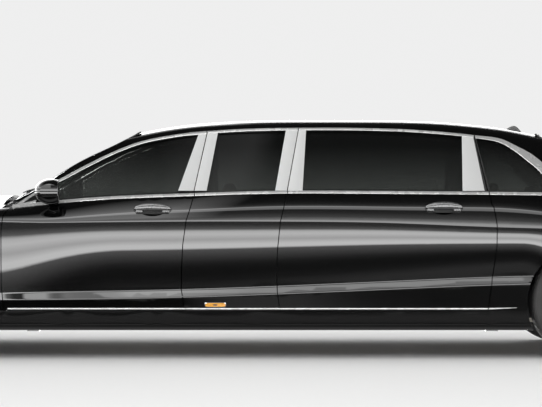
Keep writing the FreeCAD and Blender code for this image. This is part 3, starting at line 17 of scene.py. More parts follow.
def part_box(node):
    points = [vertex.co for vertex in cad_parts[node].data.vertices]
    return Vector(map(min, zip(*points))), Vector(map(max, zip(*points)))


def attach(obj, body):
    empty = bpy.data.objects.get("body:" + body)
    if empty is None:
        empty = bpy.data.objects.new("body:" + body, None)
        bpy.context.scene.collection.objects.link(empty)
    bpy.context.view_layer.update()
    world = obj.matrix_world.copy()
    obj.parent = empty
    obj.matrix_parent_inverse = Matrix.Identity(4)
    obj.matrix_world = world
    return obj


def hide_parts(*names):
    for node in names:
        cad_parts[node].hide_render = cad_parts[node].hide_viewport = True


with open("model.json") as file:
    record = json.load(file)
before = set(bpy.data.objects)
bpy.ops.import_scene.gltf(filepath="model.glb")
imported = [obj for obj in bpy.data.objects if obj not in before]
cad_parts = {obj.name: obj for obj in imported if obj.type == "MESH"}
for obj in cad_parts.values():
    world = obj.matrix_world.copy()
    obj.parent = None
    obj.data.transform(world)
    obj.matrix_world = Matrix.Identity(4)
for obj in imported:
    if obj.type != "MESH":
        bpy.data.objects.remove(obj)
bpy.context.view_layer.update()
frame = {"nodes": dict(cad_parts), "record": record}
cad = frame["nodes"]
bodies = frame["record"]["behaviour"]["bodies"]
body_of = {node: body for body, members in bodies.items() for node in members}

# %% [markdown]
# The camera stands far off the car's left side with a long lens, as in a studio profile picture. The
# picture shows only the middle of the car, 3.6 m of it, from in front of the front door to behind the rear
# door. Far off and narrow keeps the upright posts parallel. The lens is shifted down from the camera's own
# height, which keeps them upright too.

# %% Camera
def linked(name, data):
    """A new object in the scene."""
    thing = bpy.data.objects.new(name, data)
    bpy.context.scene.collection.objects.link(thing)
    return thing


picture_width = 3.604
camera_distance = 16.0
camera_height = 1.25
sight_height = 1.034
side_plane = 0.95
camera_data = bpy.data.cameras.new("camera")
camera_data.sensor_width = 36.0
camera_data.lens = 36.0 * camera_distance / picture_width
camera_data.clip_start = 0.5
camera_data.clip_end = 100.0
camera_data.shift_y = (sight_height - camera_height) / picture_width
camera = linked("camera", camera_data)
camera.location = (0.027, side_plane + camera_distance, camera_height)
camera.rotation_euler = (math.radians(90), 0, math.radians(180))
bpy.context.scene.camera = camera
print("camera lens", round(camera_data.lens, 1), "mm")

# %% [markdown]
# Shader maths is easier to read as sums than as node after node. Wire wraps a socket, so that an expression
# such as 1 - mask adds the Math nodes. Finish builds one material, and its add() makes any other node: its
# kind, then its settings, then the values or links of its sockets.


# %% Shader helpers
class Wire:
    """A socket that takes part in sums."""

    def __init__(self, finish, socket):
        self.finish = finish
        self.socket = socket

    def math(self, operation, *others):
        return self.finish.add("ShaderNodeMath", {"operation": operation}, dict(enumerate((self, *others))))

    def flipped(self, operation, other):
        return self.finish.add("ShaderNodeMath", {"operation": operation}, {0: other, 1: self})

    def __add__(self, other):
        return self.math("ADD", other)

    def __radd__(self, other):
        return self.flipped("ADD", other)

    def __sub__(self, other):
        return self.math("SUBTRACT", other)

    def __rsub__(self, other):
        return self.flipped("SUBTRACT", other)

    def __mul__(self, other):
        return self.math("MULTIPLY", other)

    def __rmul__(self, other):
        return self.flipped("MULTIPLY", other)


class Finish:
    """A material or a world in the making."""

    def __init__(self, name, tree=None):
        if tree is None:
            self.material = bpy.data.materials.new(name)
            self.material.use_nodes = True
            tree = self.material.node_tree
        self.tree = tree
        tree.nodes.clear()

    def add(self, kind, settings=None, sockets=None, out=0):
        node = self.tree.nodes.new(kind)
        for key, value in (settings or {}).items():
            if key == "stops":
                ramp = node.color_ramp
                while len(ramp.elements) < len(value):
                    ramp.elements.new(1.0)
                for element, (place, colour) in zip(ramp.elements, value):
                    element.position = place
                    element.color = colour
            else:
                setattr(node, key, value)
        for key, value in (sockets or {}).items():
            if isinstance(value, Wire):
                self.tree.links.new(value.socket, node.inputs[key])
            else:
                node.inputs[key].default_value = value
        return Wire(self, node.outputs[out]) if len(node.outputs) else node

    def place(self, stretch=(1.0, 1.0, 1.0)):
        """Object coordinates, stretched."""
        point = self.add("ShaderNodeTexCoord", out="Object")
        return self.add("ShaderNodeVectorMath", {"operation": "MULTIPLY"}, {0: point, 1: stretch})

    def noise(self, scale, detail=2.0, stretch=(1.0, 1.0, 1.0)):
        return self.add("ShaderNodeTexNoise", {}, {"Vector": self.place(stretch), "Scale": scale,
                                                   "Detail": detail})

    def cells(self, scale, stretch=(1.0, 1.0, 1.0), feature="F1", out="Distance"):
        return self.add("ShaderNodeTexVoronoi", {"feature": feature},
                        {"Vector": self.place(stretch), "Scale": scale}, out)

    def spread(self, value, low, high, to_low, to_high):
        """Maps low..high to to_low..to_high, and stops at the ends."""
        return self.add("ShaderNodeMapRange", {}, {"Value": value, "From Min": low, "From Max": high,
                                                   "To Min": to_low, "To Max": to_high})

    def blend(self, factor, first, second):
        return self.add("ShaderNodeMix", {"data_type": "RGBA"}, {0: factor, 6: first, 7: second}, 2)

    def bump(self, height, strength, distance):
        return self.add("ShaderNodeBump", {}, {"Height": height, "Strength": strength,
                                               "Distance": distance})

    def surface(self, **sockets):
        """Ends the material in a Principled shader. Socket names have underscores for spaces."""
        named = {key.replace("_", " "): value for key, value in sockets.items()}
        shader = self.add("ShaderNodeBsdfPrincipled", {}, named)
        self.add("ShaderNodeOutputMaterial", {}, {"Surface": shader})
        return self.material


def tone(r, g=None, b=None):
    return (r, r if g is None else g, r if b is None else b, 1.0)


print("shader helpers ready")

# %% [markdown]
# Black gloss paint shows nothing but reflections, so the studio decides how the car looks. Real studios
# hang long soft lights round a dark car, and each body line picks one of them up. Here the world is such a
# ring of lights, given as brightness against height angle: a bright band just under the horizon, a thin one
# over it, another at 28 degrees, and calm dark between them. Towards the nose a soft glow is added. Rays
# that reach the camera see a plain pale backdrop, and the light for matt surfaces is plain and even.

# %% Studio world
world = bpy.data.worlds.new("studio")
world.use_nodes = True
bpy.context.scene.world = world
studio = Finish("studio", world.node_tree)
backdrop_tone = 0.86
even_light = 0.72
glow_strength = 12.5
glow_stops = [(-24, 0.02), (-19.7, 0.03), (-18.0, 0.5), (-16, 0.5), (-14.05, 0.16), (-12.55, 0.08),
              (-11.2, 0.1), (-10.1, 0.28), (-8.7, 0.85), (-7.15, 1.7), (-6.75, 11.8), (-5.95, 12.0),
              (-4.6, 8.0), (-3.12, 11.0), (-2.26, 9.5), (-1.62, 2.0), (-0.36, 0.5), (1.4, 0.4), (2.4, 7.0),
              (8.4, 7.0), (10.2, 3.2), (13.1, 1.1), (18.6, 0.4), (23.1, 0.25), (24.1, 3.2), (27.0, 3.4),
              (27.3, 5.5), (27.9, 5.5), (28.8, 1.0), (31.5, 0.3), (36.0, 0.1), (46.0, 0.05)]


def up_part(degrees):
    return math.sin(math.radians(degrees))


low_end, high_end = up_part(glow_stops[0][0]), up_part(glow_stops[-1][0])
ramp = [((up_part(degrees) - low_end) / (high_end - low_end), tone(value / glow_strength))
        for degrees, value in glow_stops]
direction = studio.add("ShaderNodeTexCoord", out="Generated")
towards = studio.add("ShaderNodeSeparateXYZ", {}, {0: direction}, "Z")
forward = studio.add("ShaderNodeSeparateXYZ", {}, {0: direction}, "X")
glow = studio.add("ShaderNodeValToRGB", {"stops": ramp},
                  {0: studio.spread(towards, low_end, high_end, 0.0, 1.0)})
nose_glow = (studio.spread(forward, 0.028, 0.06, 0.0, 1.0) * studio.spread(towards, 0.2, 0.27, 0.0, 1.0)
             * studio.spread(towards, 0.5, 0.86, 1.0, 0.0) * (2.8 / glow_strength))
floor_glow = studio.spread(towards, -0.9, -0.45, 0.5 / glow_strength, 0.0)
camera_ray = studio.add("ShaderNodeLightPath", out="Is Camera Ray")
shine_ray = studio.add("ShaderNodeLightPath", out="Is Glossy Ray")
through_ray = studio.add("ShaderNodeLightPath", out="Is Transmission Ray")
both_glows = studio.add("ShaderNodeVectorMath", {"operation": "ADD"}, {0: glow, 1: nose_glow + floor_glow})
ring = studio.add("ShaderNodeBackground", {}, {"Color": both_glows, "Strength": glow_strength})
even = studio.add("ShaderNodeBackground", {}, {"Color": tone(1.0), "Strength": even_light})
pale = studio.add("ShaderNodeBackground", {}, {"Color": tone(backdrop_tone), "Strength": 1.0})
lit = studio.add("ShaderNodeMixShader", {}, {0: shine_ray, 1: even, 2: ring})
seen = studio.add("ShaderNodeMixShader", {}, {0: camera_ray.math("MAXIMUM", through_ray), 1: lit, 2: pale})
studio.add("ShaderNodeOutputWorld", {}, {"Surface": seen})
bpy.context.scene.view_settings.view_transform = "Standard"
print("studio world with", len(glow_stops), "stops of glow")

# %% [markdown]
# Three long soft boxes, one over the car and one at each side, light what isn't glossy and make the shadow
# on the floor. They are large, so that it stays soft. Gloss mirrors the ring of lights alone, so they and
# the floor are left out of it. The floor fades out into the backdrop, and no edge shows behind the car.


# %% Lamps and floor
def soft_box(name, size, place, aim, power):
    data = bpy.data.lights.new(name, "AREA")
    data.shape = "RECTANGLE"
    data.size, data.size_y = size
    data.energy = power
    lamp = linked(name, data)
    lamp.location = place
    lamp.rotation_euler = (Vector(aim) - Vector(place)).to_track_quat("-Z", "Y").to_euler()
    lamp.visible_camera = False
    lamp.visible_glossy = False


box_length, side_power = 9.0, 115.0
soft_box("top_box", (box_length, 4.0), (0.0, 0.0, 5.0), (0.0, 0.0, 0.0), 100.0)
for name, sign in (("left_box", 1), ("right_box", -1)):
    soft_box(name, (box_length, 2.5), (0.0, sign * 6.5, 3.2), (0.0, 0.0, 0.8), side_power)
floor_radius = 9.0
floor_mesh = bpy.data.meshes.new("floor")
floor_bm = bmesh.new()
bmesh.ops.create_circle(floor_bm, cap_ends=True, radius=floor_radius, segments=128)
floor_bm.to_mesh(floor_mesh)
floor_bm.free()
floor = linked("floor", floor_mesh)
floor_finish = Finish("pale_floor")
floor_grain = floor_finish.noise(30.0, 4.0)
floor_way = floor_finish.add("ShaderNodeVectorMath", {"operation": "LENGTH"}, {0: floor_finish.place()},
                             "Value")
floor_shade = floor_finish.blend(floor_grain, tone(0.78, 0.78, 0.775), tone(0.81, 0.81, 0.805))
floor_fade = floor_finish.spread(floor_way, 4.6, floor_radius * 0.97, 1.0, 0.0)
floor_mesh.materials.append(floor_finish.surface(Base_Color=floor_shade, Roughness=0.85,
                                                 Specular_IOR_Level=0.1, Alpha=floor_fade))
floor.visible_glossy = False
print("floor and three soft boxes ready")

# %% [markdown]
# The body was drawn from two sets of sections, one for the lower body and one for the greenhouse. The same
# few curves are repeated here in metres and sampled finely, to make a master skin. It isn't shown. It tells
# every painted panel how its surface should catch the light, and it carries the bright strips that lie on
# the body.

# %% Body curves
car_height = 1.598
half_width = 0.9495
wheelbase = 4.418
front_overhang = 0.913
rear_overhang = 1.169
nose_x = (front_overhang + wheelbase + rear_overhang) / 2
front_axle_x = nose_x - front_overhang
rear_axle_x = front_axle_x - wheelbase
sill_low, sill_round, sill_top = 0.186, 0.034, 0.3195
catcher_height, catcher_depth = 0.048, 0.013
belt_ledge = 0.005
rail_drop, rail_turn_drop, roof_edge_in, roof_edge_drop, roof_crown_in = 0.055, 0.017, 0.11, 0.01, 0.225


def along(station):
    """x at a station: -1 nose, 0 front axle, 1 rear axle, 2 tail."""
    if station < 0:
        return front_axle_x - station * front_overhang
    if station <= 1:
        return front_axle_x - station * wheelbase
    return rear_axle_x - (station - 1) * rear_overhang


def station_of(x):
    if x > front_axle_x:
        return (front_axle_x - x) / front_overhang
    if x >= rear_axle_x:
        return (front_axle_x - x) / wheelbase
    return 1 + (rear_axle_x - x) / rear_overhang


class Curve:
    """A natural cubic spline through (place, value) rows."""

    def __init__(self, rows):
        rows = sorted(rows)
        self.xs = [r[0] for r in rows]
        self.vs = [r[1] for r in rows]
        n = len(rows)
        h = [self.xs[i + 1] - self.xs[i] for i in range(n - 1)]
        matrix = np.eye(n)
        right = np.zeros(n)
        for i in range(1, n - 1):
            matrix[i, i - 1:i + 2] = h[i - 1], 2 * (h[i - 1] + h[i]), h[i]
            right[i] = 6 * ((self.vs[i + 1] - self.vs[i]) / h[i] - (self.vs[i] - self.vs[i - 1]) / h[i - 1])
        self.ms = np.linalg.solve(matrix, right)

    def __call__(self, x):
        xs, vs, ms = self.xs, self.vs, self.ms
        x = min(max(x, xs[0] - 0.2), xs[-1] + 0.2)
        i = max(0, min(len(xs) - 2, sum(1 for k in xs if k <= x) - 1))
        h = xs[i + 1] - xs[i]
        if x < xs[0] or x > xs[-1]:
            edge = 0 if x < xs[0] else -1
            a, b = (1.0, 0.0) if x < xs[0] else (0.0, 1.0)
            bend = (2 * ms[i] + ms[i + 1]) * a - (ms[i] + 2 * ms[i + 1]) * b
            slope = (vs[i + 1] - vs[i]) / h - h / 6 * bend
            return vs[edge] + slope * (x - xs[edge])
        a, b = (xs[i + 1] - x) / h, (x - xs[i]) / h
        return a * vs[i] + b * vs[i + 1] + ((a ** 3 - a) * ms[i] + (b ** 3 - b) * ms[i + 1]) * h * h / 6


def body_curve(rows, size):
    return Curve([(along(s), v * size) for s, v in rows])


body_width = body_curve([(-1, 0.885), (-0.8, 0.94), (-0.5, 0.973), (-0.2, 0.988), (0, 0.993), (0.15, 0.996),
                         (0.4, 1.0), (0.7, 1.0), (0.9, 0.998), (1, 0.996), (1.3, 0.984), (1.6, 0.957),
                         (1.8, 0.928), (2, 0.885)], half_width)
shoulder_height = body_curve([(-1, 0.478), (-0.6, 0.519), (-0.3, 0.544), (0, 0.561), (0.12, 0.5685),
                              (0.39, 0.5745), (0.55, 0.5742), (0.7, 0.5685), (0.85, 0.552), (1, 0.54),
                              (1.3, 0.531), (2, 0.52)], car_height)
crease_height = body_curve([(-1, 0.232), (0, 0.238), (0.13, 0.2441), (0.39, 0.2572), (0.533, 0.271),
                            (0.73, 0.2947), (0.856, 0.3091), (1, 0.318), (2, 0.33)], car_height)
edge_height = body_curve([(-1, 0.46), (-0.85, 0.498), (-0.6, 0.541), (-0.3, 0.58), (0, 0.607),
                          (0.13, 0.6283), (0.219, 0.6514), (0.4, 0.6765), (0.52, 0.6865), (0.65, 0.6868),
                          (0.845, 0.6827), (1, 0.676), (1.3, 0.669), (1.7, 0.656), (2, 0.636)], car_height)
edge_width = body_curve([(-1, 0.66), (-0.6, 0.752), (-0.3, 0.808), (0, 0.86), (0.13, 0.912), (0.25, 0.938),
                         (0.4, 0.95), (0.6, 0.953), (0.8, 0.948), (0.93, 0.936), (1.1, 0.9), (1.4, 0.865),
                         (1.7, 0.825), (2, 0.76)], half_width)
centre_height = body_curve([(-1, 0.528), (-0.85, 0.559), (-0.6, 0.594), (-0.3, 0.626), (0, 0.654),
                            (0.1, 0.672), (0.15, 0.683), (0.4, 0.688), (0.7, 0.69), (1, 0.7), (1.3, 0.7065),
                            (1.6, 0.703), (1.85, 0.693), (2, 0.682)], car_height)
crown_height = body_curve([(0, 0.8), (0.15, 0.858), (0.25, 0.904), (0.335, 0.955), (0.3741, 0.9737),
                           (0.426, 0.9885), (0.48, 0.9965), (0.55, 1.0), (0.65, 1.0), (0.73, 0.9982),
                           (0.7825, 0.9925), (0.835, 0.9806), (0.887, 0.9625), (0.9307, 0.938), (1, 0.892),
                           (1.2, 0.822), (1.5, 0.72)], car_height)
rail_width = body_curve([(0, 0.62), (0.15, 0.655), (0.35, 0.69), (0.5, 0.715), (0.65, 0.72), (0.8, 0.708),
                         (0.93, 0.68), (1.1, 0.635), (1.5, 0.55)], half_width)
print("body curves ready, waist at the middle", round(edge_height(0.0), 3), "m up")


# %% [markdown]
# A section is what a straight cut across the car would show. The lower body has seven pieces from the sill
# to the middle of the bonnet, and the greenhouse has three from the waist to the middle of the roof. Each
# is a straight line or a simple curve through a corner point.


# %% Body sections
def smooth(value, low, high):
    t = max(0.0, min(1.0, (value - low) / (high - low)))
    return t * t * (3 - 2 * t)


def lower_section(x):
    """The lower body's half section at x as point lists, from under the sill to the bonnet's middle."""
    w, zs, zc = body_width(x), shoulder_height(x), crease_height(x)
    y6, z6, z7 = edge_width(x), edge_height(x), centre_height(x)
    s = station_of(x)
    depth = catcher_depth * smooth(s, 0.1, 0.3) * (1 - smooth(s, 0.9, 0.97))
    corner, top = (w * 0.968, sill_low + sill_round), (w * 0.974, sill_top)
    crease, catcher = (w * 0.988, zc), (w * 0.988 - depth, zc + catcher_height)
    shoulder, edge = (w, zs), (y6, z6)
    rise = (z7 - z6) / (y6 / 2)
    out = 0.1 * half_width
    round_point = (y6 + out, z6 - out * rise)
    straight_point = (w * 0.992, zs + 0.55 * (z6 - zs))
    blend = max(1 - smooth(s, 0.03, 0.2), smooth(s, 0.95, 1.25))
    over = tuple(blend * a + (1 - blend) * b for a, b in zip(round_point, straight_point))
    bulge = (w * 1.004, catcher[1] + 0.55 * (zs - catcher[1]))
    return [[(w * 0.905, sill_low), (w * 0.962, sill_low), corner], [corner, top], [top, crease],
            [crease, catcher], [catcher, bulge, shoulder], [shoulder, over, edge],
            [edge, (y6 / 2, z7), (0, z7)]]


def cabin_section(x):
    """The greenhouse's half section at x, from the belt to the middle of the roof."""
    foot, belt, crown, rail = edge_width(x) - belt_ledge, edge_height(x), crown_height(x), rail_width(x)
    side = (rail, crown - rail_drop)
    lean = (foot - rail) / (side[1] - belt)
    turn = (rail - lean * (rail_drop - rail_turn_drop), crown - rail_turn_drop)
    edge = (rail - roof_edge_in, crown - roof_edge_drop)
    return [[(foot, belt), side], [side, turn, edge], [edge, (rail - roof_crown_in, crown), (0, crown)]]


def bezier(points, t):
    if len(points) == 2:
        return tuple(a + (b - a) * t for a, b in zip(*points))
    return tuple((1 - t) ** 2 * a + 2 * t * (1 - t) * b + t * t * c for a, b, c in zip(*points))


print("section pieces", len(lower_section(0.0)), "below and", len(cabin_section(0.0)), "above the belt")

# %% [markdown]
# A pressed crease is never quite sharp: the metal turns over a few millimetres, and that narrow turn
# catches a thin line of light. So the rows of the master skin stand close together beside each crease, and
# the row on the crease itself takes the average of both sides' directions.

# %% Master skin
crease_turn = 0.006


class Skin:
    """A finely sampled surface that answers with its nearest point and its smooth direction there."""

    def __init__(self):
        self.points, self.ways, self.faces = [], [], []

    def sheet(self, grid, ways):
        """Adds a grid of points and the directions that they face, rows by columns."""
        start = len(self.points)
        rows, columns = grid.shape[:2]
        self.points += [Vector(p) for p in grid.reshape(-1, 3)]
        self.ways += [Vector(w) for w in ways.reshape(-1, 3)]
        for i in range(rows - 1):
            for j in range(columns - 1):
                a = start + i * columns + j
                self.faces += [(a, a + 1, a + columns), (a + 1, a + columns + 1, a + columns)]

    def close(self):
        self.tree = BVHTree.FromPolygons(self.points, self.faces)
        return self

    def way(self, point, reach):
        """The smooth direction at the nearest point within reach, or None."""
        hit, _, index, _ = self.tree.find_nearest(point, reach)
        if hit is None:
            return None
        a, b, c = self.faces[index]
        return barycentric_transform(hit, self.points[a], self.points[b], self.points[c], self.ways[a],
                                     self.ways[b], self.ways[c]).normalized()

    def out_from(self, x, z):
        """The point on the left side at a place of the side view."""
        hit, _, _, _ = self.tree.ray_cast(Vector((x, 1.4, z)), Vector((0, -1, 0)))
        return hit


def ways_of(grid, outside):
    """Directions square to a grid, turned to the side that outside names."""
    ways = np.cross(np.gradient(grid, axis=0), np.gradient(grid, axis=1))
    ways /= np.maximum(np.linalg.norm(ways, axis=2, keepdims=True), 1e-12)
    return ways if np.mean(ways @ np.array(outside)) > 0 else -ways


def section_sheets(section, xs, counts, outsides):
    """Samples a section along the car, and softens the creases between its pieces."""
    grids = []
    for k, count in enumerate(counts):
        piece_rows = []
        for x in xs:
            points = section(x)[k]
            length = sum(math.dist(a, b) for a, b in zip(points, points[1:]))
            near = min(0.2, crease_turn / max(length, 1e-6))
            between = [near + (1 - 2 * near) * i / count for i in range(1, count)]
            steps = [0.0, near] + between + [1 - near, 1.0]
            piece_rows.append([(x, *bezier(points, t)) for t in steps])
        grids.append(np.array(piece_rows))
    ways = [ways_of(g, o) for g, o in zip(grids, outsides)]
    for before, after in zip(ways, ways[1:]):
        both = before[:, -1] + after[:, 0]
        both /= np.linalg.norm(both, axis=1, keepdims=True)
        before[:, -1] = both
        after[:, 0] = both
    return grids, ways


def add_both_sides(skin, grids, ways):
    for g, w in zip(grids, ways):
        skin.sheet(g, w)
        skin.sheet(g * [1, -1, 1], w * [1, -1, 1])


body_skin = Skin()
lower_xs = np.linspace(-3.32, 3.32, 180)
side_out, top_out = (0, 1, 0), (0, 0, 1)
lower_outsides = ((0, 0.7, -0.7), *[side_out] * 5, top_out)
add_both_sides(body_skin, *section_sheets(lower_section, lower_xs, (6, 2, 2, 3, 16, 14, 16),
                                          lower_outsides))
cabin_xs = np.linspace(-2.66, 2.16, 140)
add_both_sides(body_skin, *section_sheets(cabin_section, cabin_xs, (4, 8, 10),
                                          (side_out, (0, 0.7, 0.7), top_out)))

nose_profile = [(0.094, 0.1), (0.188, 0.01), (0.3, 0), (0.4, 0.014), (0.5, 0.08), (0.563, 0.186),
                (0.626, 0.38), (0.72, 0.79)]
tail_profile = [(0.094, 0.24), (0.188, 0.055), (0.28, 0.005), (0.388, 0), (0.5, 0.05), (0.6, 0.13),
                (0.663, 0.165), (0.751, 0.225)]


def end_sheet(tip, sign, depth, profile):
    back = Curve([(z * car_height, b * depth) for z, b in profile])
    rows = np.linspace(profile[0][0] * car_height, profile[-1][0] * car_height, 70)
    shares = np.linspace(-1.08, 1.08, 81)
    return np.array([[(tip - sign * (back(z) + depth * abs(p) ** 2.5), p * half_width, z) for p in shares]
                     for z in rows])


for tip, sign, depth, profile in ((nose_x, 1, 0.42, nose_profile), (-nose_x, -1, 0.4, tail_profile)):
    grid = end_sheet(tip, sign, depth, profile)
    body_skin.sheet(grid, ways_of(grid, (sign, 0, 0)))
body_skin.close()
print("master skin of", len(body_skin.faces), "triangles")

# %% [markdown]
# Black paint on a car is a thin coloured layer under clear lacquer. The coat gives the sharp reflections,
# and the layer under it is almost black with a little sparkle. Sprayed lacquer is never dead flat, so a
# very low, wide ripple bends the reflections slightly, and road dust dulls the lowest part of the sides.

# %% Paint
paint = Finish("black_paint")
fleck = paint.cells(900.0)
dust_cloud = paint.noise(6.0, 5.0)
low_down = paint.spread(paint.add("ShaderNodeSeparateXYZ", {}, {0: paint.place()}, "Z"), 0.2, 0.5, 0.1, 0.0)
dust = dust_cloud * low_down
layer = paint.blend(paint.spread(fleck, 0.1, 0.5, 0.0, 1.0), tone(0.0016, 0.0017, 0.0019), tone(0.0011))
black_paint = paint.surface(Base_Color=paint.blend(dust, layer, tone(0.03, 0.028, 0.026)),
                            Roughness=paint.spread(dust_cloud, 0.3, 0.7, 0.34, 0.4),
                            Coat_Weight=1.0 - dust * 0.25, Coat_Roughness=0.012, Specular_IOR_Level=0.02,
                            Normal=paint.bump(paint.noise(9.0, 1.0), 0.03, 0.002))
print("paint ready")

# %% [markdown]
# The trim on the car is of two kinds. The thin strips are bright polished metal, and the covers of the
# posts are brushed, which spreads the reflection into a soft white. Brushing is drawn as long scratches:
# noise that is stretched along one direction.

# %% Metals
satin = Finish("brushed_trim")
brush = satin.noise(1.0, 3.0, (1400.0, 1400.0, 22.0))
satin_metal = satin.surface(
    Base_Color=satin.blend(brush, tone(0.6, 0.605, 0.6), tone(0.7, 0.705, 0.7)), Metallic=0.2,
    Roughness=satin.spread(brush, 0.2, 0.8, 0.3, 0.44), Normal=satin.bump(brush, 0.06, 0.0004))

polish = Finish("bright_strip")
smear = polish.noise(14.0, 4.0)
bright_metal = polish.surface(Base_Color=polish.blend(smear, tone(0.5, 0.5, 0.495), tone(0.6, 0.6, 0.595)),
                              Metallic=0.45, Roughness=polish.spread(smear, 0.3, 0.7, 0.2, 0.32),
                              Normal=polish.bump(polish.noise(60.0), 0.03, 0.0005))

chrome_finish = Finish("chrome")
fingers = chrome_finish.noise(22.0, 5.0)
chrome = chrome_finish.surface(Base_Color=chrome_finish.blend(fingers, tone(0.82), tone(0.9)), Metallic=1.0,
                               Roughness=chrome_finish.spread(fingers, 0.35, 0.75, 0.04, 0.14))


def metal(name, dark, light, rough_low, rough_high, grain, stretch=(1.0, 1.0, 1.0), metallic=1.0, bump=0.1):
    """Bare or painted metal with cloudy tone and a fine grain."""
    finish = Finish(name)
    cloud = finish.noise(9.0, 5.0)
    fine = finish.noise(grain, 3.0, stretch)
    shade = finish.blend(cloud, tone(*dark), tone(*light))
    dull = finish.spread(fine * 0.5 + cloud * 0.5, 0.3, 0.7, rough_low, rough_high)
    return finish.surface(Base_Color=shade, Metallic=metallic, Roughness=dull,
                          Normal=finish.bump(fine, bump, 0.0008))


wheel_alloy = metal("wheel_alloy", (0.42, 0.43, 0.44), (0.55, 0.555, 0.56), 0.22, 0.34, 300.0,
                    metallic=0.85, bump=0.04)
cut_alloy = metal("turned_alloy", (0.62, 0.62, 0.62), (0.74, 0.74, 0.74), 0.16, 0.3, 500.0, bump=0.06)
disc_iron = metal("brake_iron", (0.2, 0.19, 0.18), (0.34, 0.33, 0.32), 0.3, 0.5, 420.0, (1.0, 0.1, 1.0))
cast_iron = metal("cast_iron", (0.05, 0.047, 0.045), (0.1, 0.095, 0.09), 0.55, 0.8, 160.0, bump=0.4)
under_steel = metal("under_steel", (0.025, 0.025, 0.027), (0.05, 0.05, 0.052), 0.45, 0.7, 90.0,
                    metallic=0.4, bump=0.3)
pipe_steel = metal("pipe_steel", (0.3, 0.27, 0.23), (0.5, 0.47, 0.42), 0.3, 0.55, 130.0, bump=0.15)
engine_alloy = metal("engine_alloy", (0.25, 0.25, 0.25), (0.4, 0.4, 0.4), 0.4, 0.6, 220.0, bump=0.3)
grip_finish = Finish("handle_lacquer")
grip_cloud = grip_finish.noise(40.0, 3.0)
handle_lacquer = grip_finish.surface(Base_Color=grip_finish.blend(grip_cloud, tone(0.05), tone(0.09)),
                                     Metallic=0.3, Coat_Weight=1.0, Coat_Roughness=0.03,
                                     Roughness=grip_finish.spread(grip_cloud, 0.3, 0.7, 0.24, 0.34))
print("metals ready")

# %% [markdown]
# Glass in such a car is dark from the front doors back, so that the cabin stays private, and only lightly
# tinted in the windscreen. A thick tinted pane is a clear shader whose colour is the tint. Smears and water
# marks are left in the roughness, too weak to see except where a light is mirrored.


# %% Glass and lamps
def pane(name, tint, low_tint=None, clear=0.9):
    """Tinted glass. low_tint is the tint at the waist, where a real pane lets more light through."""
    finish = Finish(name)
    smear_mask = finish.noise(5.0, 6.0)
    if low_tint is not None:
        height = finish.add("ShaderNodeSeparateXYZ", {}, {0: finish.place()}, "Z")
        tint = finish.blend(finish.spread(height, 1.12, 1.42, 0.0, 1.0), low_tint, tint)
    return finish.surface(Base_Color=tint, Transmission_Weight=clear, IOR=1.45, Alpha=1.0,
                          Roughness=finish.spread(smear_mask, 0.4, 0.8, 0.0, 0.03))


dark_glass = pane("dark_tinted_glass", tone(0.03, 0.032, 0.031), tone(0.17, 0.18, 0.172))
screen_glass = pane("windscreen_glass", tone(0.62, 0.68, 0.66), clear=1.0)
lens_clear = pane("clear_lens", tone(0.93, 0.94, 0.95), clear=1.0)


def ribbed_lens(name, deep, light, scale, clear, glow):
    """A coloured lens with fine prisms pressed into it."""
    finish = Finish(name)
    ribs = finish.cells(scale, (1.0, 1.0, 1.6))
    shade = finish.blend(finish.spread(ribs, 0.0, 0.6, 0.0, 1.0), tone(*light), tone(*deep))
    return finish.surface(Base_Color=shade, Transmission_Weight=clear, Roughness=0.08, Coat_Weight=1.0,
                          Coat_Roughness=0.02, Emission_Color=shade, Emission_Strength=glow,
                          Normal=finish.bump(ribs, 0.4, 0.003))


# The red lens is only on the rear reflectors, which are no lamps, so its faint glow is painted light.
red_lens = ribbed_lens("red_lens", (0.25, 0.002, 0.003), (0.62, 0.01, 0.012), 90.0, 0.25, 0.06)
amber_lens = ribbed_lens("amber_lens", (0.75, 0.32, 0.02), (0.95, 0.5, 0.05), 160.0, 0.1, 0.25)
lamp_silver = metal("lamp_mirror", (0.8, 0.8, 0.82), (0.9, 0.9, 0.92), 0.05, 0.12, 60.0, bump=0.03)
print("glass and lenses ready")


# %% [markdown]
# Rubber, moulded plastic, leather, carpet and cloth differ mostly in their grain. Each gets its own size of
# pattern: pores for rubber, a pebbled skin for plastic, creased cells for leather, loops for carpet and
# threads for cloth.

# %% Soft and moulded finishes
rubber_finish = Finish("tyre_rubber")
rubber_grain = rubber_finish.noise(700.0, 3.0)
scuff = rubber_finish.noise(7.0, 6.0)
worn_black = rubber_finish.blend(rubber_finish.spread(scuff, 0.35, 0.75, 0.0, 1.0), tone(0.011),
                                 tone(0.028, 0.027, 0.026))
tyre_rubber = rubber_finish.surface(Base_Color=worn_black,
                                    Roughness=rubber_finish.spread(scuff, 0.3, 0.7, 0.62, 0.82),
                                    Normal=rubber_finish.bump(rubber_grain, 0.25, 0.0006))


def moulded(name, dark, light, rough, grain=420.0, bump=0.3, coat=0.0):
    """Plastic or rubber with a pebbled skin."""
    finish = Finish(name)
    pebbles = finish.cells(grain)
    cloud = finish.noise(5.0, 4.0)
    shade = finish.blend(cloud, tone(*dark), tone(*light))
    dull = finish.spread(pebbles * 0.4 + cloud * 0.6, 0.2, 0.8, rough - 0.08, rough + 0.1)
    return finish.surface(Base_Color=shade, Coat_Weight=coat, Coat_Roughness=0.05, Roughness=dull,
                          Normal=finish.bump(pebbles, bump, 0.0005))


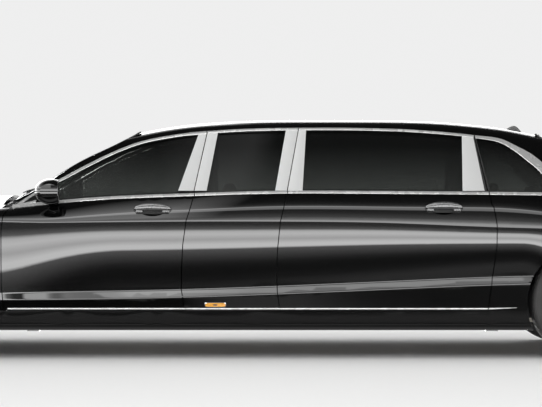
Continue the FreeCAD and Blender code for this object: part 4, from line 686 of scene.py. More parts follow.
black_plastic = moulded("black_plastic", (0.012, 0.012, 0.012), (0.02, 0.02, 0.021), 0.6)
gloss_plastic = moulded("gloss_black_plastic", (0.004, 0.004, 0.004), (0.007, 0.007, 0.007), 0.3, 900.0,
                        0.02, 1.0)
# Black rubber for seals and mouldings. The same dark finish is also painted shade on the brake discs and in
# the exhaust trims.
seal_rubber = moulded("seal_rubber", (0.008, 0.008, 0.008), (0.014, 0.014, 0.014), 0.75, 900.0)
trim_grey = moulded("cabin_plastic", (0.035, 0.034, 0.033), (0.055, 0.053, 0.05), 0.62)
plate_white = moulded("blank_plate", (0.78, 0.78, 0.76), (0.84, 0.84, 0.82), 0.4, 1500.0, 0.08, 0.4)


def hide(name, dark, light, rough):
    """Leather: creased cells, wide soft wrinkles, and a slow noise of wear in its tone and its gloss."""
    finish = Finish(name)
    grain = finish.cells(170.0, feature="DISTANCE_TO_EDGE")
    wrinkle = finish.noise(24.0, 4.0)
    worn = finish.noise(4.0, 3.0)
    height = finish.spread(grain, 0.0, 0.12, 0.0, 1.0) * 0.7 + wrinkle * 0.6
    return finish.surface(Base_Color=finish.blend(worn * 0.6 + wrinkle * 0.4, tone(*dark), tone(*light)),
                          Roughness=finish.spread(worn, 0.3, 0.7, rough - 0.07, rough + 0.08),
                          Sheen_Weight=0.05, Normal=finish.bump(height, 0.35, 0.0009))


seat_leather = hide("seat_leather", (0.30, 0.235, 0.165), (0.40, 0.32, 0.235), 0.48)
dark_leather = hide("dark_leather", (0.016, 0.015, 0.015), (0.032, 0.03, 0.029), 0.5)


def fabric(name, dark, light, scale):
    """Pile or cloth: a fine irregular grain with slow changes of tone."""
    finish = Finish(name)
    pile = finish.noise(scale, 5.0)
    cloud = finish.noise(8.0, 4.0)
    return finish.surface(Base_Color=finish.blend(pile * 0.7 + cloud * 0.3, tone(*dark), tone(*light)),
                          Roughness=0.92, Sheen_Weight=0.25, Sheen_Roughness=0.6,
                          Normal=finish.bump(pile, 0.6, 0.002))


carpet = fabric("carpet", (0.012, 0.012, 0.013), (0.045, 0.044, 0.046), 340.0)
lining_cloth = fabric("lining_cloth", (0.42, 0.38, 0.32), (0.55, 0.5, 0.43), 520.0)

wood_finish = Finish("burr_walnut")
swirl = wood_finish.add("ShaderNodeTexWave", {"wave_type": "RINGS"},
                        {"Vector": wood_finish.place((3.0, 9.0, 9.0)), "Scale": 1.4, "Distortion": 14.0,
                         "Detail": 4.0, "Detail Scale": 1.6}, 1)
pores = wood_finish.noise(260.0, 2.0, (0.25, 1.0, 1.0))
walnut = wood_finish.surface(Base_Color=wood_finish.blend(swirl * 0.75 + pores * 0.25,
                                                          tone(0.07, 0.026, 0.01), tone(0.3, 0.13, 0.05)),
                             Roughness=0.3, Coat_Weight=1.0, Coat_Roughness=0.03,
                             Normal=wood_finish.bump(pores, 0.05, 0.0005))
print("soft and moulded finishes ready")

# %% [markdown]
# Every piece is made by the same few helpers. A finished piece sits at the origin with its place in its
# mesh, is smooth except along real edges, and rides on the CAD body that carries it.


# %% Piece helpers
def ready_piece(name, mesh, material, body, stands_for=(), slot=None):
    """Makes a mesh a piece: its name, finish, the node it stands for and the body it rides on. slot is not
    used.
    """
    mesh.name = name
    mesh.materials.clear()
    mesh.materials.append(material)
    piece = linked(name, mesh)
    if stands_for:
        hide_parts(*stands_for)
    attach(piece, body)
    return piece


def finish_piece(name, mesh, material, body, stands_for=(), sharp=35.0, slot=None):
    """Smooths a mesh except along its sharp edges, and makes it a piece."""
    mesh.shade_smooth()
    mesh.set_sharp_from_angle(angle=math.radians(sharp))
    return ready_piece(name, mesh, material, body, stands_for, slot)


def mesh_of(bm, recalc=True):
    if recalc:
        bmesh.ops.remove_doubles(bm, verts=bm.verts, dist=1e-6)
        bmesh.ops.recalc_face_normals(bm, faces=bm.faces)
    mesh = bpy.data.meshes.new("piece")
    bm.to_mesh(mesh)
    bm.free()
    return mesh


def skinned(rings, closed=False, around=True, caps=True):
    """Quads over rings of points. closed joins the last ring to the first, around closes each ring."""
    bm = bmesh.new()
    rows = [[bm.verts.new(p) for p in ring] for ring in rings]
    n = len(rows[0])
    pairs = list(zip(rows, rows[1:])) + ([(rows[-1], rows[0])] if closed else [])
    for first, second in pairs:
        for i in range(n if around else n - 1):
            j = (i + 1) % n
            bm.faces.new((first[i], first[j], second[j], second[i]))
    if caps and not closed and around:
        bm.faces.new(rows[0])
        bm.faces.new(rows[-1])
    return mesh_of(bm)


def joined(meshes):
    """One mesh of several."""
    bm = bmesh.new()
    for mesh in meshes:
        bm.from_mesh(mesh)
    return mesh_of(bm, False)


def flipped(mesh):
    """The same mesh on the car's other side."""
    copy = mesh.copy()
    copy.transform(Matrix.Scale(-1, 4, Vector((0, 1, 0))))
    copy.flip_normals()
    return copy


def placed(mesh, matrix):
    copy = mesh.copy()
    copy.transform(matrix)
    return copy


print("piece helpers ready")

# %% [markdown]
# Simple forms have helpers too: boxes with rounded edges, profiles turned about an axis, and round bars
# that follow a smooth line. A curve object with a bevel could make a bar as well, but rings of points
# joined by quads are a closed mesh at once, with its place already in it.


# %% Form helpers
def circle(count):
    """The cosine and sine of even steps round a circle."""
    return [(math.cos(2 * math.pi * k / count), math.sin(2 * math.pi * k / count)) for k in range(count)]


def soft_square(half_a, half_b, power, count):
    """A rounded rectangle about the origin. A higher power has squarer corners."""
    return [(math.copysign(abs(c) ** (2 / power), c) * half_a,
             math.copysign(abs(s) ** (2 / power), s) * half_b) for c, s in circle(count)]


def block(size, centre, radius=0.004, steps=2):
    """A box with rounded edges."""
    bm = bmesh.new()
    bmesh.ops.create_cube(bm, size=1.0)
    bmesh.ops.scale(bm, verts=bm.verts, vec=size)
    bmesh.ops.bevel(bm, geom=bm.edges, offset=min(radius, min(size) * 0.45), segments=steps, profile=0.5,
                    affect="EDGES")
    bmesh.ops.translate(bm, verts=bm.verts, vec=centre)
    return mesh_of(bm, False)


def turned_on_y(profile, segments=96, centre=(0.0, 0.0, 0.0), closed=False):
    """A (radius, y) profile turned about the Y axis. Ends at radius 0 are poles."""
    rings = [[Vector((centre[0] + r * s, centre[1] + y, centre[2] + r * c)) for r, y in profile]
             for c, s in circle(segments)]
    return skinned(rings, True, closed, False)


def round_line(points, count, pull=0.5):
    """A smooth line through a few points, cut into even steps."""
    points = [Vector(p) for p in points]
    dense = []
    for i in range(len(points) - 1):
        p0, p1, p2, p3 = (points[max(0, min(len(points) - 1, k))] for k in (i - 1, i, i + 1, i + 2))
        m1, m2 = (p2 - p0) * pull, (p3 - p1) * pull
        for k in range(24):
            t = k / 24
            dense.append((2 * t ** 3 - 3 * t ** 2 + 1) * p1 + (t ** 3 - 2 * t ** 2 + t) * m1
                         + (-2 * t ** 3 + 3 * t ** 2) * p2 + (t ** 3 - t ** 2) * m2)
    dense.append(points[-1])
    lengths = np.concatenate([[0], np.cumsum([(b - a).length for a, b in zip(dense, dense[1:])])])
    result = []
    for target in np.linspace(0, lengths[-1], count):
        k = min(len(dense) - 2, max(0, int(np.searchsorted(lengths, target)) - 1))
        span = max(lengths[k + 1] - lengths[k], 1e-12)
        result.append(dense[k].lerp(dense[k + 1], (target - lengths[k]) / span))
    return result


def pipe(points, radius, sides=12, count=None, flat=1.0):
    """A round bar that follows a smooth line."""
    line = round_line(points, count or max(8, len(points) * 8))
    rings = []
    up = Vector((0, 0, 1))
    for i, p in enumerate(line):
        way = (line[min(i + 1, len(line) - 1)] - line[max(i - 1, 0)]).normalized()
        if abs(way.dot(up)) > 0.95:
            up = Vector((0, 1, 0))
        side = way.cross(up).normalized()
        up = side.cross(way).normalized()
        rings.append([p + side * (radius * c) + up * (radius * flat * s) for c, s in circle(sides)])
    return skinned(rings)


print("form helpers ready")

# %% [markdown]
# A CAD mesh is accurate but faceted, and a gloss surface shows every facet. Each painted panel is therefore
# a merged copy of its CAD mesh. It is sliced where the skin bends, and every corner on the outer skin takes
# the master skin's smooth direction. The shut faces and the inside keep their own.


# %% Panel smoothing
def sliced(bm, field):
    """Cuts a mesh where a field of its points changes sign."""
    shares = {}
    for edge in bm.edges:
        a, b = field(edge.verts[0].co), field(edge.verts[1].co)
        if a * b < 0 and min(abs(a), abs(b)) > 1e-5:
            shares[edge] = a / (a - b)
    if not shares:
        return
    made = bmesh.ops.bisect_edges(bm, edges=list(shares), cuts=1, edge_percents=shares)["geom_split"]
    bmesh.ops.connect_verts(bm, verts=[v for v in made if isinstance(v, bmesh.types.BMVert)])


merge_reach = 1.5e-5
deck_front, deck_reach = -2.6, 0.02
slice_step_x, slice_step_z = ((0.12, 0.04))
lower_turn = 0.005
crease_fields = []
for height_of, turn in ((shoulder_height, crease_turn), (crease_height, lower_turn),
                        (lambda x: crease_height(x) + catcher_height, 0.006)):
    crease_fields += [(height_of, -turn), (height_of, 0.0), (height_of, turn)]
face_match, corner_match, own_match = 0.94, 0.86, 0.88


def cut_up(bm):
    """Slices a panel evenly and along its creases."""
    low = [min(v.co[k] for v in bm.verts) for k in range(3)]
    high = [max(v.co[k] for v in bm.verts) for k in range(3)]
    for k, step in ((0, slice_step_x), (2, slice_step_z)):
        for i in range(math.ceil(low[k] / step), math.ceil(high[k] / step)):
            sliced(bm, lambda p, k=k, at=i * step + 0.0007: p[k] - at)
    for height_of, offset in crease_fields:
        sliced(bm, lambda p, height_of=height_of, offset=offset: p.z - height_of(p.x) - offset)


def own_ways(mesh, faces):
    """Yields each corner of some faces and the mean direction of those faces that nearly line up there."""
    meeting = {}
    kept = [(mesh.polygons[index], mesh.polygons[index].normal.copy()) for index in faces]
    for polygon, flat in kept:
        for corner in polygon.vertices:
            meeting.setdefault(corner, []).append((flat, polygon.area))
    for polygon, flat in kept:
        for loop, corner in zip(polygon.loop_indices, polygon.vertices):
            total = sum((other * area for other, area in meeting[corner] if other.dot(flat) > own_match),
                        Vector())
            if total.length > 0:
                yield loop, total.normalized()


def smoothed(node, reach=0.0035, shift=0.0, slices=True, mesh=None):
    """A copy of a CAD node with the directions of the master skin, which lies shift further out."""
    bm = bmesh.new()
    bm.from_mesh(cad[node].data if mesh is None else mesh)
    bmesh.ops.remove_doubles(bm, verts=bm.verts, dist=merge_reach)
    bmesh.ops.dissolve_degenerate(bm, edges=bm.edges, dist=1e-6)
    if slices:
        cut_up(bm)
    bmesh.ops.triangulate(bm, faces=[f for f in bm.faces if len(f.verts) > 3])
    fresh = mesh_of(bm, False)
    fresh.shade_smooth()
    fresh.set_sharp_from_angle(angle=math.radians(30))

    def skin_way(polygon, spot, near, match):
        """The skin's direction beside a point of a face, if it is close to the face's own."""
        flat, centre = polygon.normal, polygon.center
        turn = 1.0 if shift == 0 or flat.y * centre.y > 0 else -1.0
        way = body_skin.way(spot + Vector((0, math.copysign(shift, centre.y), 0)), near)
        return way * turn if way is not None and turn * way.dot(flat) > match else None

    on_skin_faces, edge_kinds = set(), {}
    for polygon in fresh.polygons:
        deck = polygon.center.x < deck_front and polygon.normal.z > 0.6
        near = deck_reach if deck else reach * 1.0
        if skin_way(polygon, polygon.center, near, face_match) is not None:
            on_skin_faces.add(polygon.index)
        for loop in polygon.loop_indices:
            edge = fresh.loops[loop].edge_index
            edge_kinds.setdefault(edge, set()).add(polygon.index in on_skin_faces)
    for edge, kinds in edge_kinds.items():
        if len(kinds) == 2:
            fresh.edges[edge].use_edge_sharp = True
    ways = np.zeros(len(fresh.loops) * 3)
    fresh.corner_normals.foreach_get("vector", ways)
    ways = ways.reshape(-1, 3)
    for loop, way in own_ways(fresh, [p.index for p in fresh.polygons if p.index not in on_skin_faces]):
        ways[loop] = way
    count = 0
    for index in on_skin_faces:
        polygon = fresh.polygons[index]
        near = deck_reach if polygon.center.x < deck_front else reach
        for loop, corner in zip(polygon.loop_indices, polygon.vertices):
            spot = fresh.vertices[corner].co.lerp(polygon.center, 0.02)
            way = skin_way(polygon, spot, near, corner_match)
            if way is not None:
                ways[loop] = way
                count += 1
    fresh.normals_split_custom_set([tuple(v) for v in ways])
    return fresh, count


print("panels are sliced along", len(crease_fields), "crease lines")

# %% [markdown]
# Some forms are best made by modifiers: a Boolean cuts the cup behind a door handle, and later ones give a
# sheet its wall. Each modifier sits on a passing object, and the result is read back as a plain mesh, so
# that nothing is left to compute on a finished piece.


# %% Modifier helpers
def evaluated(mesh, prepare):
    """The mesh that modifiers give. prepare adds them to a passing object, which is removed again."""
    holder = linked("holder", mesh)
    helpers = prepare(holder) or []
    bpy.context.view_layer.update()
    graph = bpy.context.evaluated_depsgraph_get()
    result = bpy.data.meshes.new_from_object(holder.evaluated_get(graph), depsgraph=graph)
    for thing in [holder] + helpers:
        bpy.data.objects.remove(thing)
    return result


def carved(mesh, cutter):
    """A mesh with another one cut out of it."""
    def prepare(holder):
        tool = linked("tool", cutter)
        cut = holder.modifiers.new("cut", "BOOLEAN")
        cut.object = tool
        cut.solver = "EXACT"
        return [tool]
    return evaluated(mesh, prepare)


def merged_copy(node):
    bm = bmesh.new()
    bm.from_mesh(cad[node].data)
    bmesh.ops.remove_doubles(bm, verts=bm.verts, dist=merge_reach)
    return mesh_of(bm, False)


def egg(centre, sizes):
    bm = bmesh.new()
    bmesh.ops.create_uvsphere(bm, u_segments=40, v_segments=20, radius=1.0)
    bmesh.ops.scale(bm, verts=bm.verts, vec=sizes)
    bmesh.ops.translate(bm, verts=bm.verts, vec=centre)
    return mesh_of(bm, False)


print("modifier helpers ready")

# %% [markdown]
# Every painted panel is done in the same way. The doors have a cup for the fingers behind each handle,
# which is cut in first. The nose and tail panels lie less exactly on the master skin, so their reach is
# longer.

# %% Painted panels
handle_spots = {"front_door": (0.816, 0.995), "rear_door": (-1.124, 1.005)}
painted = ["roof_panel", "bonnet", "boot_lid", "front_bumper", "rear_bumper"]
for pair in ("front_door", "rear_door", "mid_panel", "body_side", "front_wing"):
    painted += [pair + "_left", pair + "_right"]
for node in painted:
    start_mesh = None
    door = node.replace("_left", "").replace("_right", "")
    if door in handle_spots:
        x, z = handle_spots[door]
        spot = body_skin.out_from(x, z - 0.012)
        side = 1 if "left" in node else -1
        start_mesh = carved(merged_copy(node), egg((spot.x, side * (spot.y + 0.006), spot.z),
                                                   (0.082, 0.034, 0.034)))
    mesh, count = smoothed(node, 0.009 if "bumper" in node else 0.0035, mesh=start_mesh)
    ready_piece("painted_" + node, mesh, black_paint, body_of[node], [node], "black_paint")
    print("painted", node, len(mesh.polygons), "faces,", count, "corners on the skin")

# %% [markdown]
# The side windows follow the master skin too, 12.5 mm further in. The two screens are curved both ways and
# were drawn smooth, so they only need their faces merged.

# %% Glass panes
for node in ("front_door_glass_left", "front_door_glass_right", "rear_door_glass_left",
             "rear_door_glass_right", "fixed_side_glass"):
    mesh, count = smoothed(node, 0.011, 0.0125, False)
    ready_piece("pane_" + node, mesh, dark_glass, body_of[node], [node], "tinted_glass")
for node, glass in (("windscreen", screen_glass), ("rear_window", dark_glass)):
    bm = bmesh.new()
    bm.from_mesh(cad[node].data)
    finish_piece("pane_" + node, mesh_of(bm), glass, body_of[node], [node], 25.0, "tinted_glass")
print("glass panes ready")

# %% [markdown]
# Polished strips frame every window, a thicker one runs along the waist and a thin one along the sill. On
# the real car each is pressed metal clipped to its own door or panel, so each is cut at the shut lines.
# Here a strip is a low rounded profile carried along two lines of the side view, and the master skin gives
# its place and its tilt.


# %% Strips on the skin
strip_sunk = 0.0015
way_reach = 0.02


def on_skin(x, z, lift):
    point = body_skin.out_from(x, z)
    return point + body_skin.way(point, way_reach) * lift


def even_points(points, count, rounded=True):
    """The same line of (x, z) points, cut into even steps."""
    line = [Vector((x, 0.0, z)) for x, z in points]
    return [(p.x, p.z) for p in round_line(line, count, 0.5 if rounded and len(points) > 2 else 0.0)]


def strip_between(at, first, second, proud, edge=0.003):
    """A rounded strip between two lines of points. at lays a point of the line on a surface."""
    rings = []
    for (a0, b0), (a1, b1) in zip(first, second):
        e = min(0.3, edge / max(math.dist((a0, b0), (a1, b1)), 1e-5))
        half = [(0, -strip_sunk), (0, 0.4 * proud), (0.35 * e, 0.78 * proud), (e, proud)]
        profile = half + [(0.5, proud * 1.06)] + [(1 - share, lift) for share, lift in reversed(half)]
        rings.append([at(a0 + (a1 - a0) * s, b0 + (b1 - b0) * s, lift) for s, lift in profile])
    return skinned(rings)


def ribbon(first, second, proud, edge=0.003, count=None, rounded=True):
    """A rounded strip between two lines of the side view, on the left side."""
    count = count or max(6, int(sum(math.dist(a, b) for a, b in zip(first, first[1:])) / 0.03))
    lines = [even_points(line, count, rounded) for line in (first, second)]
    return strip_between(on_skin, *lines, proud, edge)


def line_and_inner(points, width):
    """A line in even steps, and another beside it on its right-hand side as it runs."""
    line = even_points(points, 60)
    result = []
    for i, (x, z) in enumerate(line):
        (x0, z0), (x1, z1) = line[max(0, i - 1)], line[min(len(line) - 1, i + 1)]
        length = math.dist((x0, z0), (x1, z1))
        result.append((x + (z1 - z0) / length * width, z - (x1 - x0) / length * width))
    return line, result


def both_bodies(name, mesh, material, body, sharp=35.0):
    """The left piece and its mirror image. Bodies that end in left have a partner that ends in right."""
    mirror = body.replace("left", "right")
    finish_piece(name + "_left", mesh, material, body, sharp=sharp)
    finish_piece(name + "_right", flipped(mesh), material, mirror, sharp=sharp)


frame_width, frame_proud = 0.017, 0.0035
sill_strip, sill_proud = (0.3262, 0.338), 0.0025
window_frames = {"front_door_left": [(1.757, 1.009), (1.59, 1.121), (1.428, 1.207), (1.142, 1.357),
                                     (0.913, 1.448), (0.684, 1.494), (0.512, 1.513), (0.463, 1.517)],
                 "mid_panel_left": [(0.457, 1.519), (0.2605, 1.5317), (0.0396, 1.5389), (-0.155, 1.5413)],
                 "rear_door_left": [(-0.16, 1.5413), (-0.358, 1.542), (-0.543, 1.5405), (-0.756, 1.536),
                                    (-0.89, 1.531), (-1.12, 1.515), (-1.264, 1.501), (-1.344, 1.492)]}
quarter_outer = [(-1.351, 1.491), (-1.504, 1.473), (-1.606, 1.432), (-1.775, 1.331), (-1.99, 1.11)]
quarter_inner = [(-1.354, 1.472), (-1.504, 1.446), (-1.606, 1.392), (-1.708, 1.31), (-1.775, 1.25),
                 (-1.895, 1.104)]
belt_runs = {"front_door_left": (1.757, 0.541), "mid_panel_left": (0.535, -0.081),
             "rear_door_left": (-0.087, -1.427), "quarter": (-1.433, -1.985)}
sill_runs = {"front_door_left": (1.783, 0.599), "mid_panel_left": (0.595, -0.032),
             "rear_door_left": (-0.036, -1.418)}
strips = {}
for node, outer in window_frames.items():
    strips[node] = [ribbon(*line_and_inner(outer, -frame_width), frame_proud, count=60)]
strips["quarter"] = [ribbon(quarter_outer, quarter_inner, frame_proud, count=40)]
for node, (start, end) in belt_runs.items():
    xs = np.linspace(start, end, max(8, int((start - end) / 0.04)))
    belt = [[(x, edge_height(x) + rise) for x in xs] for rise in (0.0005, 0.02)]
    strips[node].append(ribbon(*belt, frame_proud))
for node, (start, end) in sill_runs.items():
    sill = [[(start, z), (end, z)] for z in sill_strip]
    strips[node].append(ribbon(*sill, sill_proud, rounded=False))
strips["front_door_left"].append(ribbon([(1.776, 1.006), (1.6, 1.037)], [(1.74, 1.02), (1.598, 1.056)],
                                        0.0036, rounded=False))
sill_end = [[(-1.424, z), (-1.61, end_z)] for z, end_z in zip(sill_strip, (0.3375, 0.341))]
strips["quarter"].append(ribbon(*sill_end, sill_proud, rounded=False))
for node, meshes in strips.items():
    both_bodies("bright_strips_" + node.replace("_left", ""), joined(meshes), bright_metal,
                body_of.get(node, "body"))
print("bright strips on", sorted(strips))

# %% [markdown]
# A rubber tube lies deep in the gap round every door, on the frame that the door shuts against. It keeps
# water and light out, and makes each shut line read as a clean dark line.

# %% Door seals
front_edge = [(0.1202, 0.2015), (0.1166, 0.3), (0.1163, 0.4), (0.1163, 0.53), (0.1185, 0.588),
              (0.124, 0.617), (0.1315, 0.6345)]
front_top = [(0.1691, 0.7035), (0.2057, 0.7565), (0.2375, 0.804), (0.2705, 0.8492), (0.2975, 0.8815),
             (0.3223, 0.906), (0.3485, 0.924), (0.3741, 0.9359), (0.4, 0.9445), (0.4248, 0.9505)]
front_mid_line = [(0.4065, 0.6853), (0.395, 0.5763), (0.3898, 0.475), (0.3884, 0.38), (0.3884, 0.29),
                  (0.3898, 0.2534), (0.3925, 0.2015)]
rear_mid_line = [(0.5645, 0.9645), (0.5473, 0.6952), (0.5434, 0.6452), (0.5371, 0.5726), (0.533, 0.4643),
                 (0.5313, 0.356), (0.5324, 0.2766), (0.5362, 0.2015)]
rear_top = [(0.61, 0.965), (0.6519, 0.964), (0.7, 0.961), (0.7304, 0.9582), (0.7825, 0.948),
            (0.8151, 0.9395), (0.8338, 0.9335)]
rear_edge = [(0.852, 0.6946), (0.8556, 0.6414), (0.8583, 0.6302), (0.8632, 0.5582), (0.863, 0.4643),
             (0.8583, 0.356), (0.8556, 0.3091), (0.85, 0.2015)]
seals = []
for loop in (front_edge + front_top + front_mid_line + front_edge[:1],
             rear_mid_line[::-1] + rear_top + rear_edge + rear_mid_line[-1:]):
    line = even_points([(along(s), v * car_height) for s, v in loop], 260, False)
    seals.append(pipe([on_skin(x, z, -0.03) for x, z in line], 0.0033, 8, 261))
both_bodies("door_seals", joined(seals), seal_rubber, "body", 60.0)
print("door seals ready")

# %% [markdown]
# The posts between the windows wear broad brushed covers. Each door and panel has its own, with a thin dark
# line of rubber between them where they part.

# %% Post covers
post_covers = [
    ("front_door_left", (0.518, 1.494), (0.4635, 1.5005), (0.544, 1.118), (0.647, 1.118)),
    ("mid_panel_left", (0.457, 1.5), (0.386, 1.507), (0.457, 1.118), (0.538, 1.118)),
    ("mid_panel_left", (-0.0735, 1.5235), (-0.154, 1.5245), (-0.0785, 1.119), (-0.001, 1.119)),
    ("rear_door_left", (-0.16, 1.5245), (-0.21, 1.525), (-0.1835, 1.118), (-0.0845, 1.118)),
    ("rear_door_left", (-1.263, 1.484), (-1.34, 1.475), (-1.4, 1.117), (-1.253, 1.117))]
for k, (node, top_left, top_right, low_right, low_left) in enumerate(post_covers):
    mesh = ribbon([top_left, low_left], [top_right, low_right], 0.0028, 0.004, 16, False)
    both_bodies("post_cover_%d" % k, mesh, satin_metal, body_of[node])
seal_lines = [("rear_door_left", (-1.342, 1.473), (-1.347, 1.472), (-1.416, 1.117), (-1.402, 1.117)),
              ("body", (-1.3535, 1.471), (-1.3575, 1.47), (-1.437, 1.117), (-1.426, 1.117))]
for k, (node, top_left, top_right, low_right, low_left) in enumerate(seal_lines):
    mesh = ribbon([top_left, low_left], [top_right, low_right], 0.002, 0.0015, 16, False)
    both_bodies("post_rubber_%d" % k, mesh, seal_rubber, body_of.get(node, "body"))
print("post covers", len(post_covers) * 2)


# %% [markdown]
# Small parts stand on the skin too: the amber marker lamp of each middle panel, the black sail panel that
# carries the mirror, and the flap over the fuel filler. A patch is a rounded outline that is laid on the
# skin ring by ring.

# %% Patches on the skin
def patch(at, centre, half_a, half_b, power, rows, around=56):
    """A rounded-rectangle patch. rows are (share of the size, lift) pairs from the rim to the middle."""
    outline = soft_square(half_a, half_b, power, around)
    rings = [[at(centre[0] + a * share, centre[1] + b * share, lift) for a, b in outline]
             for share, lift in rows]
    return skinned(rings)


low_pad = [(1.0, -0.0015), (1.0, 0.5), (0.985, 0.85), (0.95, 1.0), (0.6, 1.05), (0.2, 1.08), (0.02, 1.08)]


def pad_rows(height):
    return [(share, lift if lift < 0 else lift * height) for share, lift in low_pad]


marker = (0.3975, 0.3595)
both_bodies("marker_lens", patch(on_skin, marker, 0.0675, 0.0125, 6, pad_rows(0.006)), amber_lens, "body")
rim_rows = [(1.0, -0.0015), (1.0, 0.0025), (0.97, 0.003), (0.93, 0.003), (0.93, -0.0015)]
both_bodies("marker_rim", patch(on_skin, marker, 0.071, 0.016, 6, rim_rows), chrome, "body")
bulb = patch(on_skin, (0.3985, 0.3595), 0.016, 0.0045, 2.5, pad_rows(0.0078))
both_bodies("marker_bulb", bulb, dark_leather, "body")
sail = ribbon([(1.742, 1.031), (1.5, 1.168)], [(1.585, 1.062), (1.498, 1.075)], 0.0024, 0.003, 14, False)
both_bodies("sail_panel", sail, gloss_plastic, "front_door_left")
flap_line = [(1.0, -0.001), (1.0, 0.0006), (0.985, 0.0007), (0.965, 0.0006), (0.965, -0.001)]
flap = patch(on_skin, (-1.62, 0.93), 0.1, 0.09, 5, flap_line)
finish_piece("fuel_flap_gap", flipped(flap), seal_rubber, "body")
print("marker lamps, sail panels and fuel flap ready")

# %% [markdown]
# A pull handle needs room for the fingers, so the door skin has a cup behind it. The cup is cut into a copy
# of each door before its panel is smoothed. The handle itself is one glossy bar that swells in the middle
# and turns down into its two dark feet.

# %% Door handles
for door, (hx, hz) in handle_spots.items():
    base = on_skin(hx, hz, 0.0)
    out = body_skin.way(base, way_reach)
    rings = []
    for k in range(41):
        u = -1 + 2 * k / 40
        size = max(0.03, 1 - abs(u) ** 2.6) ** 0.55
        spot = on_skin(hx + u * 0.124, hz + 0.002 + 0.009 * (1 - u * u),
                       0.003 + 0.021 * (1 - u ** 4) ** 0.5)
        tall, deep = 0.024 * size, 0.011 * max(0.45, size)
        ring = []
        for c, s in circle(24):
            waist = 1 - 0.3 * math.exp(-((s + 0.1) / 0.25) ** 2) if c > 0 else 1.0
            ring.append(spot + out * (deep * c * waist) + Vector((0, 0, 1)) * (tall * s))
        rings.append(ring)
    grip = skinned(rings)
    feet = [block((0.048, 0.024, 0.034), base + Vector((side * 0.088, 0.006, -0.014)), 0.01, 3)
            for side in (-1, 1)]
    rim = patch(on_skin, (hx, hz - 0.002), 0.127, 0.031, 2.6,
                [(1.0, -0.002), (1.0, 0.0008), (0.98, 0.0014), (0.95, 0.0014), (0.95, -0.002)])
    for side, turn in (("left", False), ("right", True)):
        node = door + "_handle_" + side
        parts = [flipped(m) if turn else m.copy() for m in (grip, joined(feet), rim)]
        finish_piece("handle_bar_" + node, parts[0], handle_lacquer, body_of[node], [node], 60.0,
                     "bright_metal")
        finish_piece("handle_feet_" + node, parts[1], gloss_plastic, body_of[node])
        finish_piece("handle_rim_" + node, parts[2], seal_rubber, body_of[node])
print("door handles ready")

# %% [markdown]
# Many parts of a wheel repeat round its axle: tread blocks, spokes, bolts and the dark dots of painted shade
# that stand for the drilling of the brake disc.
# One copy is modelled, and a Geometry Nodes tree sets the rest: a row of points at the axle, an instance on
# each, and every instance turned by its number. The tree realises them and gives them their finish.

# %% Copies round an axle
def tree_node(tree, kind, settings=None, sockets=None):
    """Adds a node: its kind, then its settings, then the values or links of its sockets."""
    node = tree.nodes.new(kind)
    for key, value in (settings or {}).items():
        setattr(node, key, value)
    for key, value in (sockets or {}).items():
        if isinstance(value, bpy.types.NodeSocket):
            tree.links.new(value, node.inputs[key])
        else:
            node.inputs[key].default_value = value
    return node


def new_tree(name, **numbers):
    """A tree with a shape, some named numbers and a finish as its inputs, and a shape as its output."""
    tree = bpy.data.node_groups.new(name, "GeometryNodeTree")
    for label, kind in {"Geometry": "Geometry", **numbers, "Finish": "Material"}.items():
        tree.interface.new_socket(label, in_out="INPUT", socket_type="NodeSocket" + kind)
    tree.interface.new_socket("Geometry", in_out="OUTPUT", socket_type="NodeSocketGeometry")
    return tree, tree_node(tree, "NodeGroupInput")


def end_tree(tree, entry, copies):
    """Makes the copies real, gives them their finish and sends them out."""
    real = tree_node(tree, "GeometryNodeRealizeInstances", {}, {0: copies.outputs[0]})
    dressed = tree_node(tree, "GeometryNodeSetMaterial", {},
                        {"Geometry": real.outputs[0], "Material": entry.outputs["Finish"]})
    tree_node(tree, "NodeGroupOutput", {}, {0: dressed.outputs[0]})


around_tree, entry = new_tree("copies_round_axle", Copies="Int")
points = tree_node(around_tree, "GeometryNodePoints", {}, {"Count": entry.outputs["Copies"]})
index = tree_node(around_tree, "GeometryNodeInputIndex")
share = tree_node(around_tree, "ShaderNodeMath", {"operation": "DIVIDE"},
                  {0: index.outputs[0], 1: entry.outputs["Copies"]})
angle = tree_node(around_tree, "ShaderNodeMath", {"operation": "MULTIPLY"},
                  {0: share.outputs[0], 1: 2 * math.pi})
euler = tree_node(around_tree, "ShaderNodeCombineXYZ", {}, {"Y": angle.outputs[0]})
turn = tree_node(around_tree, "FunctionNodeEulerToRotation", {}, {0: euler.outputs[0]})
spread_copies = tree_node(around_tree, "GeometryNodeInstanceOnPoints", {}, {
    "Points": points.outputs[0], "Instance": entry.outputs["Geometry"], "Rotation": turn.outputs[0]})
end_tree(around_tree, entry, spread_copies)


def with_tree(mesh, tree, values):
    """Runs a mesh through a tree. values are its named inputs."""
    def prepare(holder):
        step = holder.modifiers.new("tree", "NODES")
        step.node_group = tree
        for item in tree.interface.items_tree:
            if item.item_type == "SOCKET" and item.in_out == "INPUT" and item.name in values:
                step[item.identifier] = values[item.name]
    return evaluated(mesh, prepare)


def round_axle(mesh, copies, finish):
    return with_tree(mesh, around_tree, {"Copies": copies, "Finish": finish})


print("copies_round_axle has", len(around_tree.nodes), "nodes")

# %% [markdown]
# The tyre is a turned carcass with a bulging sidewall, a rim guard and thin raised rings. Its tread is five
# rows of slanted blocks with grooves between them, 72 times round.

# %% Tyres
wheel_y, tyre_radius, tread_floor, tread_pitches = 0.806, 0.37, 0.3605, 72


def wheel_ring(profile):
    """Turns a closed (radius, y) outline about the axle."""
    return turned_on_y(profile, 144, closed=True)


